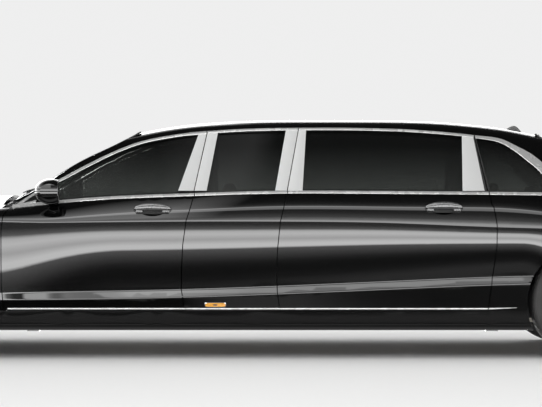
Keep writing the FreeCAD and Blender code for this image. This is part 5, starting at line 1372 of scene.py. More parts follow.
carcass_half = [(0.3622, 0.0), (0.3622, 0.092), (0.3605, 0.1), (0.3535, 0.1085), (0.347, 0.113),
                (0.342, 0.1147), (0.3405, 0.1162), (0.339, 0.1155), (0.331, 0.1182), (0.318, 0.1205),
                (0.3115, 0.1212), (0.31, 0.1222), (0.3085, 0.1213), (0.298, 0.1205), (0.289, 0.119),
                (0.284, 0.1205), (0.28, 0.1205), (0.276, 0.117), (0.27, 0.112), (0.2655, 0.1075),
                (0.262, 0.1)]
carcass = wheel_ring(carcass_half + [(r, -y) for r, y in reversed(carcass_half[1:])])
pitch = 2 * math.pi / tread_pitches
tread_rows = [(-0.1065, -0.067, 0.9), (-0.058, -0.0255, 0.86), (-0.0165, 0.0165, 0.93),
              (0.0255, 0.058, 0.86), (0.067, 0.1065, 0.9)]
blocks = []
for y0, y1, fill in tread_rows:
    rings = []
    for k in range(4):
        y = y0 + (y1 - y0) * k / 3
        top = tyre_radius - 0.004 * max(0.0, (abs(y) - 0.07) / 0.0365) ** 2 * (1.9 if abs(y) > 0.1 else 1.0)
        lean = 0.16 * y / 0.1
        a0, a1 = (lean * pitch * 1.6 - fill * pitch / 2), (lean * pitch * 1.6 + fill * pitch / 2)
        spots = [(tread_floor, a0 - 0.002), (top - 0.0006, a0), (top, a0 + 0.002), (top, (a0 + a1) / 2),
                 (top, a1 - 0.002), (top - 0.0006, a1), (tread_floor, a1 + 0.002)]
        rings.append([Vector((r * math.sin(a), y, r * math.cos(a))) for r, a in spots])
    blocks.append(skinned(rings))
tread = round_axle(joined(blocks), tread_pitches, tyre_rubber)
tyre_mesh = joined([carcass, tread])
print("one tyre has", len(tyre_mesh.polygons), "faces")

# %% [markdown]
# The wheel is cast alloy with ten spokes, each with a raised spine, and a polished lip. Five bolts hold it,
# round a plain cap. The brake disc behind it is cast iron and turns with it. Its drilling is not cut: dark
# dots on its face are painted shade. The calliper doesn't turn, so it rides on what carries the wheel.

# %% Wheels and brakes
barrel = wheel_ring([(0.262, 0.1005), (0.2725, 0.1035), (0.276, 0.108), (0.2755, 0.1135), (0.271, 0.1165),
                     (0.262, 0.1175), (0.2535, 0.115), (0.2475, 0.107), (0.2445, 0.09), (0.242, 0.05),
                     (0.236, 0.0), (0.234, -0.07), (0.244, -0.09), (0.258, -0.103), (0.268, -0.113),
                     (0.2745, -0.1145), (0.276, -0.108), (0.2725, -0.103), (0.2625, -0.1), (0.252, -0.085),
                     (0.2425, -0.06), (0.2435, 0.0), (0.2505, 0.05), (0.2555, 0.088)])
lip = wheel_ring([(0.2645, 0.1176), (0.2718, 0.1168), (0.2758, 0.1142), (0.2768, 0.109), (0.2775, 0.1095),
                  (0.2768, 0.1155), (0.2722, 0.1184), (0.2645, 0.1191)])
spoke_rings = []
for k in range(15):
    t = k / 14
    r = 0.045 + t * 0.206
    half = 0.0115 + 0.012 * abs(1 - t * 1.25) ** 2.2 + 0.011 * max(0.0, (t - 0.7) / 0.3) ** 2
    face = 0.086 + 0.016 * math.sin(t * math.pi * 0.5) + 0.004 * t
    back = face - 0.03 + 0.006 * math.sin(t * math.pi)
    outline = [(-half, back), (-half, face - 0.008), (-half * 0.72, face - 0.0015), (-half * 0.3, face),
               (0, face + 0.0025), (half * 0.3, face), (half * 0.72, face - 0.0015), (half, face - 0.008),
               (half, back), (0, back - 0.004)]
    spoke_rings.append([Vector((across, y, r)) for across, y in outline])
spokes = round_axle(skinned(spoke_rings), 10, wheel_alloy)
hub = wheel_ring([(0.0355, 0.062), (0.0355, 0.084), (0.0375, 0.088), (0.044, 0.0905), (0.06, 0.0895),
                  (0.069, 0.0865), (0.074, 0.079), (0.074, 0.055), (0.06, 0.04), (0.045, 0.04)])
rim_mesh = joined([barrel, spokes, hub])
cap = turned_on_y([(0.0, 0.0905), (0.02, 0.0895), (0.031, 0.0865), (0.034, 0.083), (0.0352, 0.076),
                   (0.0352, 0.06)], 72)
bolt = turned_on_y([(0.0, 0.0015), (0.0045, 0.0015), (0.0048, 0.004), (0.0078, 0.0085), (0.0085, 0.005),
                    (0.0085, -0.008)], 6, (0.0, 0.086, 0.0545))
bolts = round_axle(bolt, 5, chrome)
disc = wheel_ring([(0.178, 0.004), (0.18, 0.002), (0.18, -0.008), (0.178, -0.01), (0.12, -0.01),
                   (0.118, 0.0), (0.118, 0.012), (0.108, 0.032), (0.07, 0.036), (0.07, 0.044),
                   (0.112, 0.04), (0.124, 0.018), (0.126, 0.006), (0.13, 0.004)])
# The disc is not drilled through: small flat dark dots on its face are painted shade where the drilling would
# be.
shade_dots = []
for radius, lag in ((0.138, 0.0), (0.152, 0.05), (0.167, 0.1)):
    shade_dot = turned_on_y([(0.0, 0.0006), (0.0036, 0.0006), (0.004, 0.0002), (0.004, -0.003)], 12,
                       (0.0, 0.004, radius))
    shade_dots.append(round_axle(placed(shade_dot, Matrix.Rotation(lag, 4, "Y")), 30, seal_rubber))
disc_holes = joined(shade_dots)
caliper_rings = []
for k in range(15):
    a = math.radians(-34 + 68 * k / 14)
    swell = min(1.0, 2.2 * (1 - abs(k / 7 - 1)) + 0.55)
    outline = [(0.122, 0.012), (0.122, 0.03 * swell), (0.135, 0.042 * swell), (0.175, 0.044 * swell),
               (0.192, 0.034 * swell), (0.196, 0.0), (0.192, -0.034), (0.13, -0.036), (0.128, -0.014),
               (0.184, -0.014), (0.184, 0.008), (0.13, 0.008)]
    caliper_rings.append([Vector((r * math.cos(a), y, r * math.sin(a))) for r, y in outline])
caliper = skinned(caliper_rings)
wheel_parts = [("tyre", tyre_mesh, tyre_rubber, "tyre"), ("rim", rim_mesh, wheel_alloy, "alloy"),
               ("rim_lip", lip, cut_alloy, None), ("hub_cap", cap, gloss_plastic, None),
               ("wheel_bolts", bolts, chrome, None), ("brake_disc", disc, disc_iron, None),
               ("disc_holes", disc_holes, seal_rubber, None)]
for place, axle_x in (("front", front_axle_x), ("rear", rear_axle_x)):
    at_front = place == "front"
    towards_x = Matrix.Rotation(math.pi, 4, "Y") if at_front else Matrix.Identity(4)
    for side in ("left", "right"):
        turns = side == "right"
        seat_at = Matrix.Translation((axle_x, -wheel_y if turns else wheel_y, tyre_radius))
        carrier = "front_knuckle_" + side if at_front else "body"
        rows = [(*part, place + "_wheel_" + side) for part in wheel_parts]
        rows.append(("calliper", placed(caliper, towards_x), engine_alloy, None, carrier))
        for label, mesh, finish, slot, body in rows:
            stands_for = [place + "_" + label + "_" + side] if slot else []
            copy = flipped(mesh) if turns else mesh.copy()
            finish_piece("fine_" + label + "_" + place + "_" + side, placed(copy, seat_at), finish, body,
                         stands_for, 32.0, slot)
print("four wheels ready")

# %% [markdown]
# The lamps are hollow. The outer faces of each CAD lamp become a thin clear cover and its other faces the
# bowl, which leaves room for what is inside. Lamps and trim are laid on the CAD surfaces by casting rays.


# %% Lamp helpers
def tree_of(meshes):
    """A search tree of the faces of several meshes."""
    points, faces = [], []
    for mesh in meshes:
        start = len(points)
        points += [v.co for v in mesh.vertices]
        faces += [tuple(start + i for i in p.vertices) for p in mesh.polygons]
    return BVHTree.FromPolygons(points, faces)


def node_tree(nodes):
    return tree_of([cad[node].data for node in nodes])


def surface_of(nodes, origin, way, by_normal=False):
    """A function that lays a point on CAD nodes along rays. origin turns two numbers into a ray's start."""
    tree = node_tree(nodes)
    way = Vector(way)
    last = [0.3]

    def at(a, b, lift):
        start = Vector(origin(a, b))
        hit, normal, _, distance = tree.ray_cast(start, way)
        if hit is None:
            return start + way * (last[0] - lift)
        last[0] = distance
        if not by_normal:
            return hit - way * lift
        return hit - normal * math.copysign(lift, lift * normal.dot(way))
    return at


nose_nodes = ["front_bumper", "headlamps", "grille", "bonnet", "front_wing_left", "front_wing_right"]
tail_nodes = ["rear_bumper", "boot_lid", "tail_lamps", "body_side_left", "body_side_right"]
on_nose = surface_of(nose_nodes, lambda y, z: (4.5, y, z), (-1, 0, 0), True)
on_tail = surface_of(tail_nodes, lambda y, z: (-4.5, y, z), (1, 0, 0), True)


def over_gap(low, high):
    """A function that spans an opening in the nose between two heights."""
    def at(y, z, lift):
        first, second = on_nose(y, low, 0.0), on_nose(y, high, 0.0)
        return first.lerp(second, (z - low) / (high - low)) + Vector((lift, 0, 0))
    return at


def shelled(node, around, forward, thickness, depth):
    """Parts a CAD lamp into its cover, its bowl and the bowl's back wall, each a thin closed shell."""
    tree = node_tree(around)
    bm = bmesh.new()
    bm.from_mesh(merged_copy(node))
    outer = set()
    for face in bm.faces:
        start = face.calc_center_median() + face.normal * 0.0005
        if face.normal.x * forward > -0.3 and tree.ray_cast(start, face.normal, 0.2)[0] is None:
            outer.add(face.index)
    shells = []
    for kind in ("cover", "bowl", "wall"):
        part = bm.copy()
        part.faces.ensure_lookup_table()
        bmesh.ops.delete(part, geom=[f for f in part.faces if (f.index in outer) != (kind != "bowl")],
                         context="FACES")
        part.normal_update()
        for vertex in part.verts if kind == "wall" else ():
            vertex.co = vertex.co - vertex.normal * depth

        def prepare(holder):
            step = holder.modifiers.new("wall", "SOLIDIFY")
            step.thickness = thickness
            step.offset = -1
        shells.append(evaluated(mesh_of(part, False), prepare))
    bm.free()
    return shells


def turned_on_x(profile, centre, segments=48):
    """A (radius, forward) profile turned about a line along X."""
    turned = turned_on_y(profile, segments)
    turned.transform(Matrix.Translation(centre) @ Matrix.Rotation(-math.pi / 2, 4, "Z"))
    return turned


def strip_on(at, line, radius, lift, flat=0.6):
    return pipe([at(a, b, lift) for a, b in line], radius, 10, 60, flat)


def glowing(name, scale, light, deep, rough, glow, strength):
    """A lit plastic rod with small prisms in it."""
    finish = Finish(name)
    return finish.surface(Base_Color=finish.blend(finish.cells(scale), tone(*light), tone(*deep)),
                          Roughness=rough, Emission_Color=tone(*glow), Emission_Strength=strength)


light_guide = glowing("light_guide", 220.0, (0.95, 0.97, 1.0), (0.7, 0.74, 0.8), 0.25, (0.9, 0.95, 1.0),
                      0.75)
red_guide = glowing("red_light_guide", 160.0, (0.75, 0.01, 0.01), (0.4, 0.004, 0.004), 0.2,
                    (0.9, 0.02, 0.02), 0.5)
red_cover = pane("red_cover", tone(0.8, 0.03, 0.03), clear=0.9)
print("lamp helpers and their finishes ready")

# %% [markdown]
# Inside each headlamp two projectors throw their light through ball lenses in bright rings. A light guide
# runs along the top, and a silver bar with fins and an amber bar lie below. The round parts are turned
# profiles, and the bars follow lines laid on the nose by rays, because the lamp wraps round its corner.

# %% Headlamps
cover, bowl, wall = shelled("headlamps", nose_nodes, 1, 0.0025, 0.075)
finish_piece("headlamp_bowls", joined([bowl, wall]), gloss_plastic, "body")
finish_piece("headlamp_covers", cover, lens_clear, "body", ["headlamps"], 30.0, "clear_lamp")
silver, balls, rings, guides, ambers = [], [], [], [], []
for y in (0.52, 0.645):
    spot = on_nose(y, 0.732, -0.062)
    silver.append(turned_on_x([(0.0, -0.03), (0.03, -0.026), (0.044, -0.005), (0.05, 0.014), (0.054, 0.018),
                               (0.0545, 0.014), (0.048, -0.008), (0.034, -0.03), (0.0, -0.034)], spot))
    balls.append(turned_on_x([(0.0, 0.022), (0.012, 0.02), (0.023, 0.013), (0.031, 0.0), (0.03, -0.006),
                              (0.0, -0.008)], spot))
    rings.append(turned_on_x([(0.0345, 0.004), (0.0365, 0.008), (0.0395, 0.009), (0.0415, 0.007),
                              (0.0405, 0.002)], spot))
brow = [(0.462 + 0.022 * k, 0.792 + 0.006 * math.sin(k / 19 * math.pi)) for k in range(19)]
guides.append(strip_on(on_nose, brow, 0.0055, -0.02))
guides.append(strip_on(on_nose, [(0.85, 0.79), (0.862, 0.75), (0.866, 0.7), (0.86, 0.67)], 0.004, -0.018))
silver.append(strip_on(on_nose, [(0.465 + 0.02 * k, 0.672) for k in range(19)], 0.009, -0.03, 0.5))
for k in range(5):
    fin = [(y + 0.024 * k, z) for y, z in ((0.72, 0.69), (0.722, 0.73), (0.724, 0.77))]
    silver.append(strip_on(on_nose, fin, 0.003, -0.045))
ambers.append(strip_on(on_nose, [(0.71 + 0.02 * k, 0.682) for k in range(8)], 0.005, -0.02))
for name, meshes, finish in (("lamp_silver", silver, lamp_silver), ("lamp_balls", balls, lens_clear),
                             ("lamp_rings", rings, light_guide), ("lamp_guides", guides, light_guide),
                             ("lamp_ambers", ambers, amber_lens)):
    both_bodies(name, joined(meshes), finish, "body")
print("headlamps ready")

# %% [markdown]
# Each tail lamp is a red cover over four light guides, with a bright bar under them for reversing. The
# guides are flattened rods laid along the tail, so that they bend round the corner with the cover.

# %% Tail lamps
cover, bowl, wall = shelled("tail_lamps", tail_nodes, -1, 0.0025, 0.04)
finish_piece("tail_lamp_covers", cover, red_cover, "body", ["tail_lamps"], 30.0, "red_lamp")
finish_piece("tail_lamp_bowls", joined([bowl, wall]), gloss_plastic, "body")
reds, clears = [], []
for z in (0.785, 0.82, 0.855, 0.89):
    reds.append(strip_on(on_tail, [(0.615 + 0.019 * k, z + 0.0004 * k) for k in range(12)], 0.0058, -0.022,
                         0.8))
clears.append(strip_on(on_tail, [(0.62 + 0.012 * k, 0.766) for k in range(12)], 0.006, -0.02, 0.8))
both_bodies("tail_guides", joined(reds), red_guide, "body")
both_bodies("tail_reverse", joined(clears), lamp_silver, "body")
print("tail lamps ready")

# %% [markdown]
# Behind the bright grille bars and in the three lower intakes sits a black wire mesh. One diamond of wire
# is made and a second Geometry Nodes tree lays it out in columns and rows.

# %% Wire mesh
mesh_tree, entry = new_tree("columns_and_rows", Columns="Int", Rows="Int", Width="Float", Height="Float")
lattice = tree_node(mesh_tree, "GeometryNodeMeshGrid", {},
                    {"Size X": entry.outputs["Width"], "Size Y": entry.outputs["Height"],
                     "Vertices X": entry.outputs["Columns"], "Vertices Y": entry.outputs["Rows"]})
cells_out = tree_node(mesh_tree, "GeometryNodeInstanceOnPoints", {}, {
    "Points": lattice.outputs[0], "Instance": entry.outputs["Geometry"]})
end_tree(mesh_tree, entry, cells_out)


def wire_mesh(width, height, cell, centre, depth=None):
    """An upright diamond mesh that faces forwards, flat or laid at a depth under the skin of the nose."""
    columns, rows = int(width / cell) + 1, int(height / (cell * 0.6)) + 1
    a, b, r = cell / 2, cell * 0.3, 0.0011
    rings = []
    for x, y in ((a, 0), (0, b), (-a, 0), (0, -b)):
        n = Vector((x, y, 0)).normalized()
        rings.append([Vector((x, y, 0)) + n * (r * c) + Vector((0, 0, r * s))
                      for c, s in ((1, 0), (0, 1), (-1, 0), (0, -1))])
    diamond = skinned(rings, True)
    net = with_tree(diamond, mesh_tree, {"Columns": columns, "Rows": rows, "Width": (columns - 1) * cell,
                                         "Height": (rows - 1) * cell * 0.6, "Finish": black_plastic})
    if depth is not None:
        gap = over_gap(*depth[1:])
        for vertex in net.vertices:
            y, z, rise = vertex.co
            vertex.co = gap(y + centre[1], z + centre[2], rise - depth[0])
        return net
    upright = Matrix(((0, 0, 1, centre[0]), (1, 0, 0, centre[1]), (0, 1, 0, centre[2]), (0, 0, 0, 1)))
    return placed(net, upright)


middle_gap, side_gap, net_depth = (0.255, 0.44), (0.3, 0.5), 0.03
nets = [wire_mesh(0.7, 0.31, 0.024, (3.108, 0.0, 0.65)),
        wire_mesh(0.78, 0.13, 0.026, (0.0, 0.0, 0.348), (net_depth, *middle_gap))]
nets += [wire_mesh(0.36, 0.14, 0.026, (0.0, y, 0.4), (net_depth, *side_gap)) for y in (0.645, -0.645)]
finish_piece("wire_mesh", joined(nets), black_plastic, "body", sharp=60.0)


def sheet(at, a_range, b_range, lift, columns=12, rows=6, thick=0.003):
    """A thin closed sheet laid over part of a surface."""
    rings = []
    for a in np.linspace(*a_range, columns):
        up = [at(a, b, lift) for b in np.linspace(*b_range, rows)]
        down = [at(a, b, lift - thick) for b in np.linspace(*b_range, rows)]
        rings.append(up + down[::-1])
    return skinned(rings)


back_walls = [block((0.004, 0.74, 0.35), (3.098, 0.0, 0.65)),
              sheet(over_gap(*middle_gap), (-0.42, 0.42), (0.26, 0.44), -0.05)]
back_walls += [sheet(over_gap(*side_gap), span, (0.31, 0.49), -0.05)
               for span in ((0.46, 0.84), (-0.84, -0.46))]
finish_piece("mesh_backing", joined(back_walls), seal_rubber, "body")
print("wire mesh of", sum(len(n.polygons) for n in nets), "faces")

# %% [markdown]
# Bumpers and boot carry the last bright pieces: a blade under the lower intake, a bar over the rear plate,
# two flat exhaust trims and the two plates, which stay blank.


# %% Bumper and boot trim
def bar_across(at, half, low, high, proud):
    """A bright bar from side to side between two heights."""
    ys = np.linspace(-half, half, 41)
    return strip_between(at, [(y, low) for y in ys], [(y, high) for y in ys], proud)


blades = [bar_across(on_nose, 0.72, 0.242, 0.256, 0.005), bar_across(on_tail, 0.62, 0.318, 0.33, 0.004)]
finish_piece("bumper_blades", joined(blades), bright_metal, "body")
finish_piece("boot_bar", bar_across(on_tail, 0.52, 0.936, 0.958, 0.007), bright_metal, "boot_lid")
exhaust_rows = [(1.0, -0.001), (1.0, 0.005), (0.985, 0.008), (0.93, 0.008), (0.9, 0.004), (0.89, -0.001)]
# The exhaust outlets are not open: a flat dark patch inside each trim is painted shade.
mouth_shade_rows = [(1.0, -0.001), (1.0, 0.001), (0.6, 0.001), (0.02, 0.001)]
# The red reflectors glow faintly: painted light, since they are no lamps.
reflector_rows = [(1.0, -0.001), (1.0, 0.002), (0.97, 0.003), (0.5, 0.0034), (0.02, 0.0034)]
trims, mouth_shades, reflectors = [], [], []
for side in (-1, 1):
    spot = (side * 0.53, 0.262)
    trims.append(patch(on_tail, spot, 0.088, 0.03, 5, exhaust_rows, 64))
    mouth_shades.append(patch(on_tail, spot, 0.08, 0.0265, 5, mouth_shade_rows, 64))
for side in (-1, 1):
    reflectors.append(patch(on_tail, (side * 0.69, 0.365), 0.07, 0.012, 5, reflector_rows, 64))
for name, meshes, finish in (("exhaust_trims", trims, chrome), ("exhaust_mouths", mouth_shades, seal_rubber),
                             ("rear_reflectors", reflectors, red_lens)):
    finish_piece(name, joined(meshes), finish, "body")

plate_size, front_plate_z, rear_plate_tilt = (0.006, 0.52, 0.112), 0.43, math.radians(12)
front_plate_x = max(on_nose(0.0, 0.45, 0.0).x, on_nose(0.0, 0.235, 0.0).x) + 0.012
plate = block(plate_size, (front_plate_x, 0.0, front_plate_z), 0.0025, 3)
finish_piece("front_plate", plate, plate_white, "body")
holder = block((0.012, 0.53, 0.122), (front_plate_x - 0.007, 0.0, front_plate_z), 0.004, 3)
finish_piece("front_plate_holder", holder, black_plastic, "body")
rear_plate_x = on_tail(0.0, 0.83, 0.0).x
slope = Matrix.Translation((rear_plate_x - 0.009, 0.0, 0.835)) @ Matrix.Rotation(rear_plate_tilt, 4, "Y")
finish_piece("rear_plate", placed(block(plate_size, (0, 0, 0), 0.0025, 3), slope), plate_white, "boot_lid")
holder = placed(block((0.008, 0.53, 0.122), (0.006, 0, 0), 0.003, 3), slope)
finish_piece("rear_plate_holder", holder, black_plastic, "boot_lid")
screws = [turned_on_x([(0.0, 0.0025), (0.0045, 0.002), (0.0055, 0.0), (0.0055, -0.002)],
                      (front_plate_x + 0.003, y, front_plate_z), 16) for y in (-0.2, 0.2)]
finish_piece("plate_screws", joined(screws), chrome, "body")
print("bumper and boot trim ready")

# %% [markdown]
# On the roof, a small aerial fin stands on the centre line. Two wipers rest at the foot of the windscreen:
# an arm, a spring-steel blade and its rubber, laid on the glass by casting rays on to it.

# %% Roof and windscreen parts
above_car, down = 2.5, Vector((0, 0, -1))
fin_rings = []
for k in range(13):
    t = k / 12
    length, wide = 0.15 * (1 - t) ** 0.75 + 0.018 * t, 0.02 * (1 - 0.78 * t)
    middle = -1.668 - 0.012 * t
    foot = body_skin.tree.ray_cast(Vector((middle, 0.0, above_car)), down)[0].z - 0.006
    fin_rings.append([Vector((middle + length / 2 * c, wide * s * (0.55 + 0.45 * c ** 2), foot + 0.055 * t))
                      for c, s in circle(24)])
finish_piece("aerial_fin", skinned(fin_rings), handle_lacquer, "body")
screen_tree = node_tree(["windscreen"])


def on_screen(x, y, lift):
    point, way, _, _ = screen_tree.ray_cast(Vector((x, y, above_car)), down)
    way = way if way.z > 0 else -way
    return point + way * lift


arms, rubbers = [], []
for foot_y, tip_y, foot_x, tip_x in ((0.2, 0.68, 1.742, 1.628), (-0.42, 0.12, 1.742, 1.66)):
    line = [(foot_x + (tip_x - foot_x) * t, foot_y + (tip_y - foot_y) * t)
            for t in np.linspace(0.0, 1.0, 9)]
    arms.append(pipe([on_screen(x, y, 0.016 - 0.006 * k / 8) for k, (x, y) in enumerate(line[:6])], 0.006,
                     8, 24, 0.6))
    blade = [(foot_x - 0.012 + (tip_x - foot_x) * t, foot_y + (tip_y - foot_y) * t)
             for t in np.linspace(0.08, 1.0, 9)]
    arms.append(pipe([on_screen(x, y, 0.0085) for x, y in blade], 0.0042, 8, 30, 0.8))
    rubbers.append(pipe([on_screen(x, y, 0.003) for x, y in blade], 0.0026, 6, 30))
finish_piece("wiper_arms", joined(arms), black_plastic, "body")
finish_piece("wiper_rubbers", joined(rubbers), seal_rubber, "body")
print("fin and wipers ready")

# %% [markdown]
# The mirrors have a painted cap over a black plastic foot, so the CAD mirror is cut at that height and gets
# both finishes. A mirror glass goes in the back of each.

# %% Mirrors
cap_bottom, cap_slope = 1.1, 0.12
for side, sign in (("left", 1), ("right", -1)):
    door, node = "front_door_" + side, "mirror_" + side
    bm = bmesh.new()
    bm.from_mesh(merged_copy(node))
    bmesh.ops.bisect_plane(bm, geom=bm.verts[:] + bm.edges[:] + bm.faces[:], plane_co=(0, 0, cap_bottom),
                           plane_no=(cap_slope, 0, 1))
    mesh = mesh_of(bm, False)
    finish_piece("mirror_cap_" + side, mesh, black_paint, door, [node], 50.0, "black_paint")
    mesh.materials.append(black_plastic)
    for polygon in mesh.polygons:
        if polygon.center.z + cap_slope * polygon.center.x < cap_bottom:
            polygon.material_index = 1
    glass = turned_on_x([(0.0, 0.0), (0.9, 0.0), (0.97, -0.004), (1.0, -0.01), (0.97, -0.014),
                         (0.0, -0.014)], (0, 0, 0), 64)
    glass_at = Matrix.Translation((1.4335, sign * 1.02, 1.118))
    glass.transform(glass_at @ Matrix.Diagonal((-1.0, 0.083, 0.06, 1.0)))
    glass.flip_normals()
    finish_piece("mirror_glass_" + side, glass, chrome, door, sharp=50.0)
print("mirrors ready")

# %% [markdown]
# Both screens are bonded in. A black border is printed round the edge of the glass to hide the glue, and a
# soft moulding covers the joint. The moulding is a strip along the outline, laid half on the glass and half
# on the body.


# %% Screen borders
def outline_of(node, count):
    """Even points round the edge of a screen's outer face, each with its way inwards and its way out."""
    bm = bmesh.new()
    bm.from_mesh(merged_copy(node))
    outer = {f.index for f in bm.faces if f.normal.z > 0.15}
    links = {}
    for edge in bm.edges:
        if len({f.index in outer for f in edge.link_faces}) == 2:
            for a, b in (tuple(edge.verts), tuple(edge.verts)[::-1]):
                links.setdefault(a.index, []).append(b.index)
    bm.verts.ensure_lookup_table()
    chains, left = [], set(links)
    while left:
        chain = [left.pop()]
        while True:
            onward = [k for k in links[chain[-1]] if k in left]
            if not onward:
                break
            left.remove(onward[0])
            chain.append(onward[0])
        chains.append([bm.verts[k].co.copy() for k in chain])
    bm.free()
    chain = max(chains, key=len)
    lengths = [0.0]
    for a, b in zip(chain, chain[1:] + chain[:1]):
        lengths.append(lengths[-1] + (b - a).length)
    points = []
    for k in range(count):
        at = lengths[-1] * k / count
        n = max(i for i in range(len(chain)) if lengths[i] <= at)
        share = (at - lengths[n]) / max(lengths[n + 1] - lengths[n], 1e-9)
        points.append(chain[n].lerp(chain[(n + 1) % len(chain)], share))
    tree = node_tree([node])
    middle = sum(points, Vector()) / count
    rows = []
    for k, p in enumerate(points):
        along_edge = (points[(k + 3) % count] - points[k - 3]).normalized()
        up = tree.find_nearest(p.lerp(middle, 0.06) + Vector((0, 0, 0.05)))[1]
        up = up if up.z > 0 else -up
        inwards = up.cross(along_edge).normalized()
        rows.append((p, inwards if inwards.dot(middle - p) > 0 else -inwards, up))
    return rows


print_shape = ((0.002, 0.0012), (0.045, 0.0012), (0.045, -0.0005), (0.002, -0.0005))
moulding_shape = ((0.013, -0.001), (0.012, 0.002), (0.006, 0.0042), (-0.005, 0.0048), (-0.011, 0.0035),
                  (-0.013, 0.0), (-0.011, -0.004), (0.002, -0.004))
for node in ("windscreen", "rear_window"):
    outline = outline_of(node, 260)
    for label, finish, shape in (("_print", gloss_plastic, print_shape),
                                 ("_moulding", seal_rubber, moulding_shape)):
        rings = [[p + inwards * a + up * b for a, b in shape] for p, inwards, up in outline]
        finish_piece(node + label, skinned(rings, True), finish, "body", sharp=60.0)
print("screen borders ready")

# %% [markdown]
# Six armchairs stand in the cabin: two in front, two facing backwards behind the partition and two at the
# back. Each is a base, a cushion, a leaning back and a headrest, in leather over foam. The three soft forms
# are swollen once each with a cloth simulation: a rounded block is remeshed into even squares, and pressure
# pushes it out between its edges. The channels are pressed in afterwards, because remeshing would rub them
# out.

# %% Soft forms
seat_low, seat_lean = 0.4, math.radians(13.0)
voxel, last_frame = 0.019, 20


def groove(value, lines, width):
    return max(math.exp(-((value - line) / width) ** 2) for line in lines)


def swollen(mesh, shape, cap, flat_side):
    """A soft form: remeshed, shaped, swollen by cloth pressure with its flat side held, and subdivided."""
    def even(holder):
        step = holder.modifiers.new("even", "REMESH")
        step.mode = "VOXEL"
        step.voxel_size = voxel
    form = evaluated(mesh, even)
    for vertex in form.vertices:
        vertex.co = shape(vertex.co.copy())
    holder = linked("soft", form)
    held = holder.vertex_groups.new(name="held")
    held.add([v.index for v in form.vertices if flat_side(v.co)], 1.0, "REPLACE")
    cloth = holder.modifiers.new("cloth", "CLOTH").settings
    cloth.quality = 5
    cloth.mass = 0.3
    cloth.tension_stiffness = cloth.compression_stiffness = 20.0
    cloth.bending_stiffness = 0.6
    cloth.use_pressure = True
    cloth.uniform_pressure_force = 4.0
    cloth.vertex_group_mass = "held"
    cloth.effector_weights.gravity = 0.0
    scene = bpy.context.scene
    for number in range(1, last_frame + 1):
        scene.frame_set(number)
    graph = bpy.context.evaluated_depsgraph_get()
    blown = [v.co.copy() for v in holder.evaluated_get(graph).data.vertices]
    scene.frame_set(1)
    holder.modifiers.clear()
    bpy.data.objects.remove(holder)
    for vertex, place in zip(form.vertices, blown):
        move = place - vertex.co
        vertex.co = vertex.co + move * (cap / max(cap, move.length))

    def rounder(holder):
        step = holder.modifiers.new("smooth", "SUBSURF")
        step.levels = step.render_levels = 1
    return evaluated(form, rounder)


def cushion_shape(p):
    top = smooth(p.z, 0.0, 0.04)
    p.z += top * (0.016 * smooth(abs(p.y), 0.16, 0.21) - 0.02 * smooth(p.x, 0.15, 0.25)
                  - 0.006 * smooth(-p.x, 0.0, 0.2))
    p.y *= 1.0 - 0.03 * smooth(abs(p.x), 0.12, 0.26)
    return p


def back_shape(p):
    front = smooth(p.x, 0.0, 0.03)
    p.x += front * (0.018 * smooth(abs(p.y), 0.16, 0.21) + 0.008 * math.exp(-((p.z + 0.12) / 0.1) ** 2))
    p.y *= 1.0 - 0.14 * smooth(p.z, 0.1, 0.31) ** 2
    return p


def headrest_shape(p):
    p.y *= 1.0 - 0.1 * smooth(p.z, 0.0, 0.085)
    p.x += 0.01 * (p.y / 0.13) ** 2
    return p


at_origin = (0, 0, 0)
cushion = swollen(block((0.5, 0.52, 0.128), at_origin, 0.04, 5), cushion_shape, 0.009,
                  lambda p: p.z < -0.055)
back_rest = swollen(block((0.1, 0.52, 0.6), at_origin, 0.04, 5), back_shape, 0.009, lambda p: p.x < -0.043)
head_rest = swollen(block((0.07, 0.25, 0.15), at_origin, 0.03, 5), headrest_shape, 0.008,
                    lambda p: p.z < -0.066)
flutes = (-0.105, -0.0525, 0.0, 0.0525, 0.105)
for vertex in cushion.vertices:
    x, y, z = vertex.co
    if z > 0.03 and abs(y) < 0.19:
        run = smooth(x, -0.23, -0.2) * (1 - smooth(x, 0.15, 0.17))
        vertex.co.z -= 0.006 * groove(y, flutes, 0.009) * run * (abs(y) < 0.15)
        vertex.co.z -= 0.008 * groove(abs(y), (0.158,), 0.008)
        vertex.co.z -= 0.006 * groove(x, (0.165,), 0.008) * (abs(y) < 0.158)
for vertex in back_rest.vertices:
    x, y, z = vertex.co
    if x > 0.02 and abs(y) < 0.19:
        run = smooth(z, -0.27, -0.24) * (1 - smooth(z, 0.13, 0.15))
        vertex.co.x -= 0.006 * groove(y, flutes, 0.009) * run * (abs(y) < 0.15)
        vertex.co.x -= 0.008 * groove(abs(y), (0.15,), 0.008)
        vertex.co.x -= 0.006 * groove(z, (0.145,), 0.008) * (abs(y) < 0.15)
for vertex in head_rest.vertices:
    if vertex.co.x > 0.01:
        vertex.co.x -= 0.003 * groove(abs(vertex.co.y), (0.085,), 0.007)
print("soft forms:", len(cushion.vertices), len(back_rest.vertices), len(head_rest.vertices), "points")

# %% [markdown]
# Welts are thin leather cords that hide the seams round a cushion. They are pipes whose line is found by
# casting rays on to the soft form, so they sit in its surface. Chrome stems hold the headrests, and each
# base has a skirt.


# %% Armchairs
def welt(mesh, half_a, half_b, start_of, way):
    """A cord round a cushion's top or a back's front. start_of turns two numbers into a ray's start."""
    tree = tree_of([mesh])
    hits = [tree.ray_cast(Vector(start_of(a, b)), Vector(way))[0]
            for a, b in soft_square(half_a, half_b, 7, 72)]
    points = [hit for hit in hits if hit is not None]
    return pipe(points + points[:2], 0.0034, 8, 150)


def turned_on_z(profile, segments, place):
    """A (radius, height) profile turned about an upright line."""
    upright = Matrix.Translation(place) @ Matrix.Rotation(math.pi / 2, 4, "X")
    return placed(turned_on_y(profile, segments), upright)


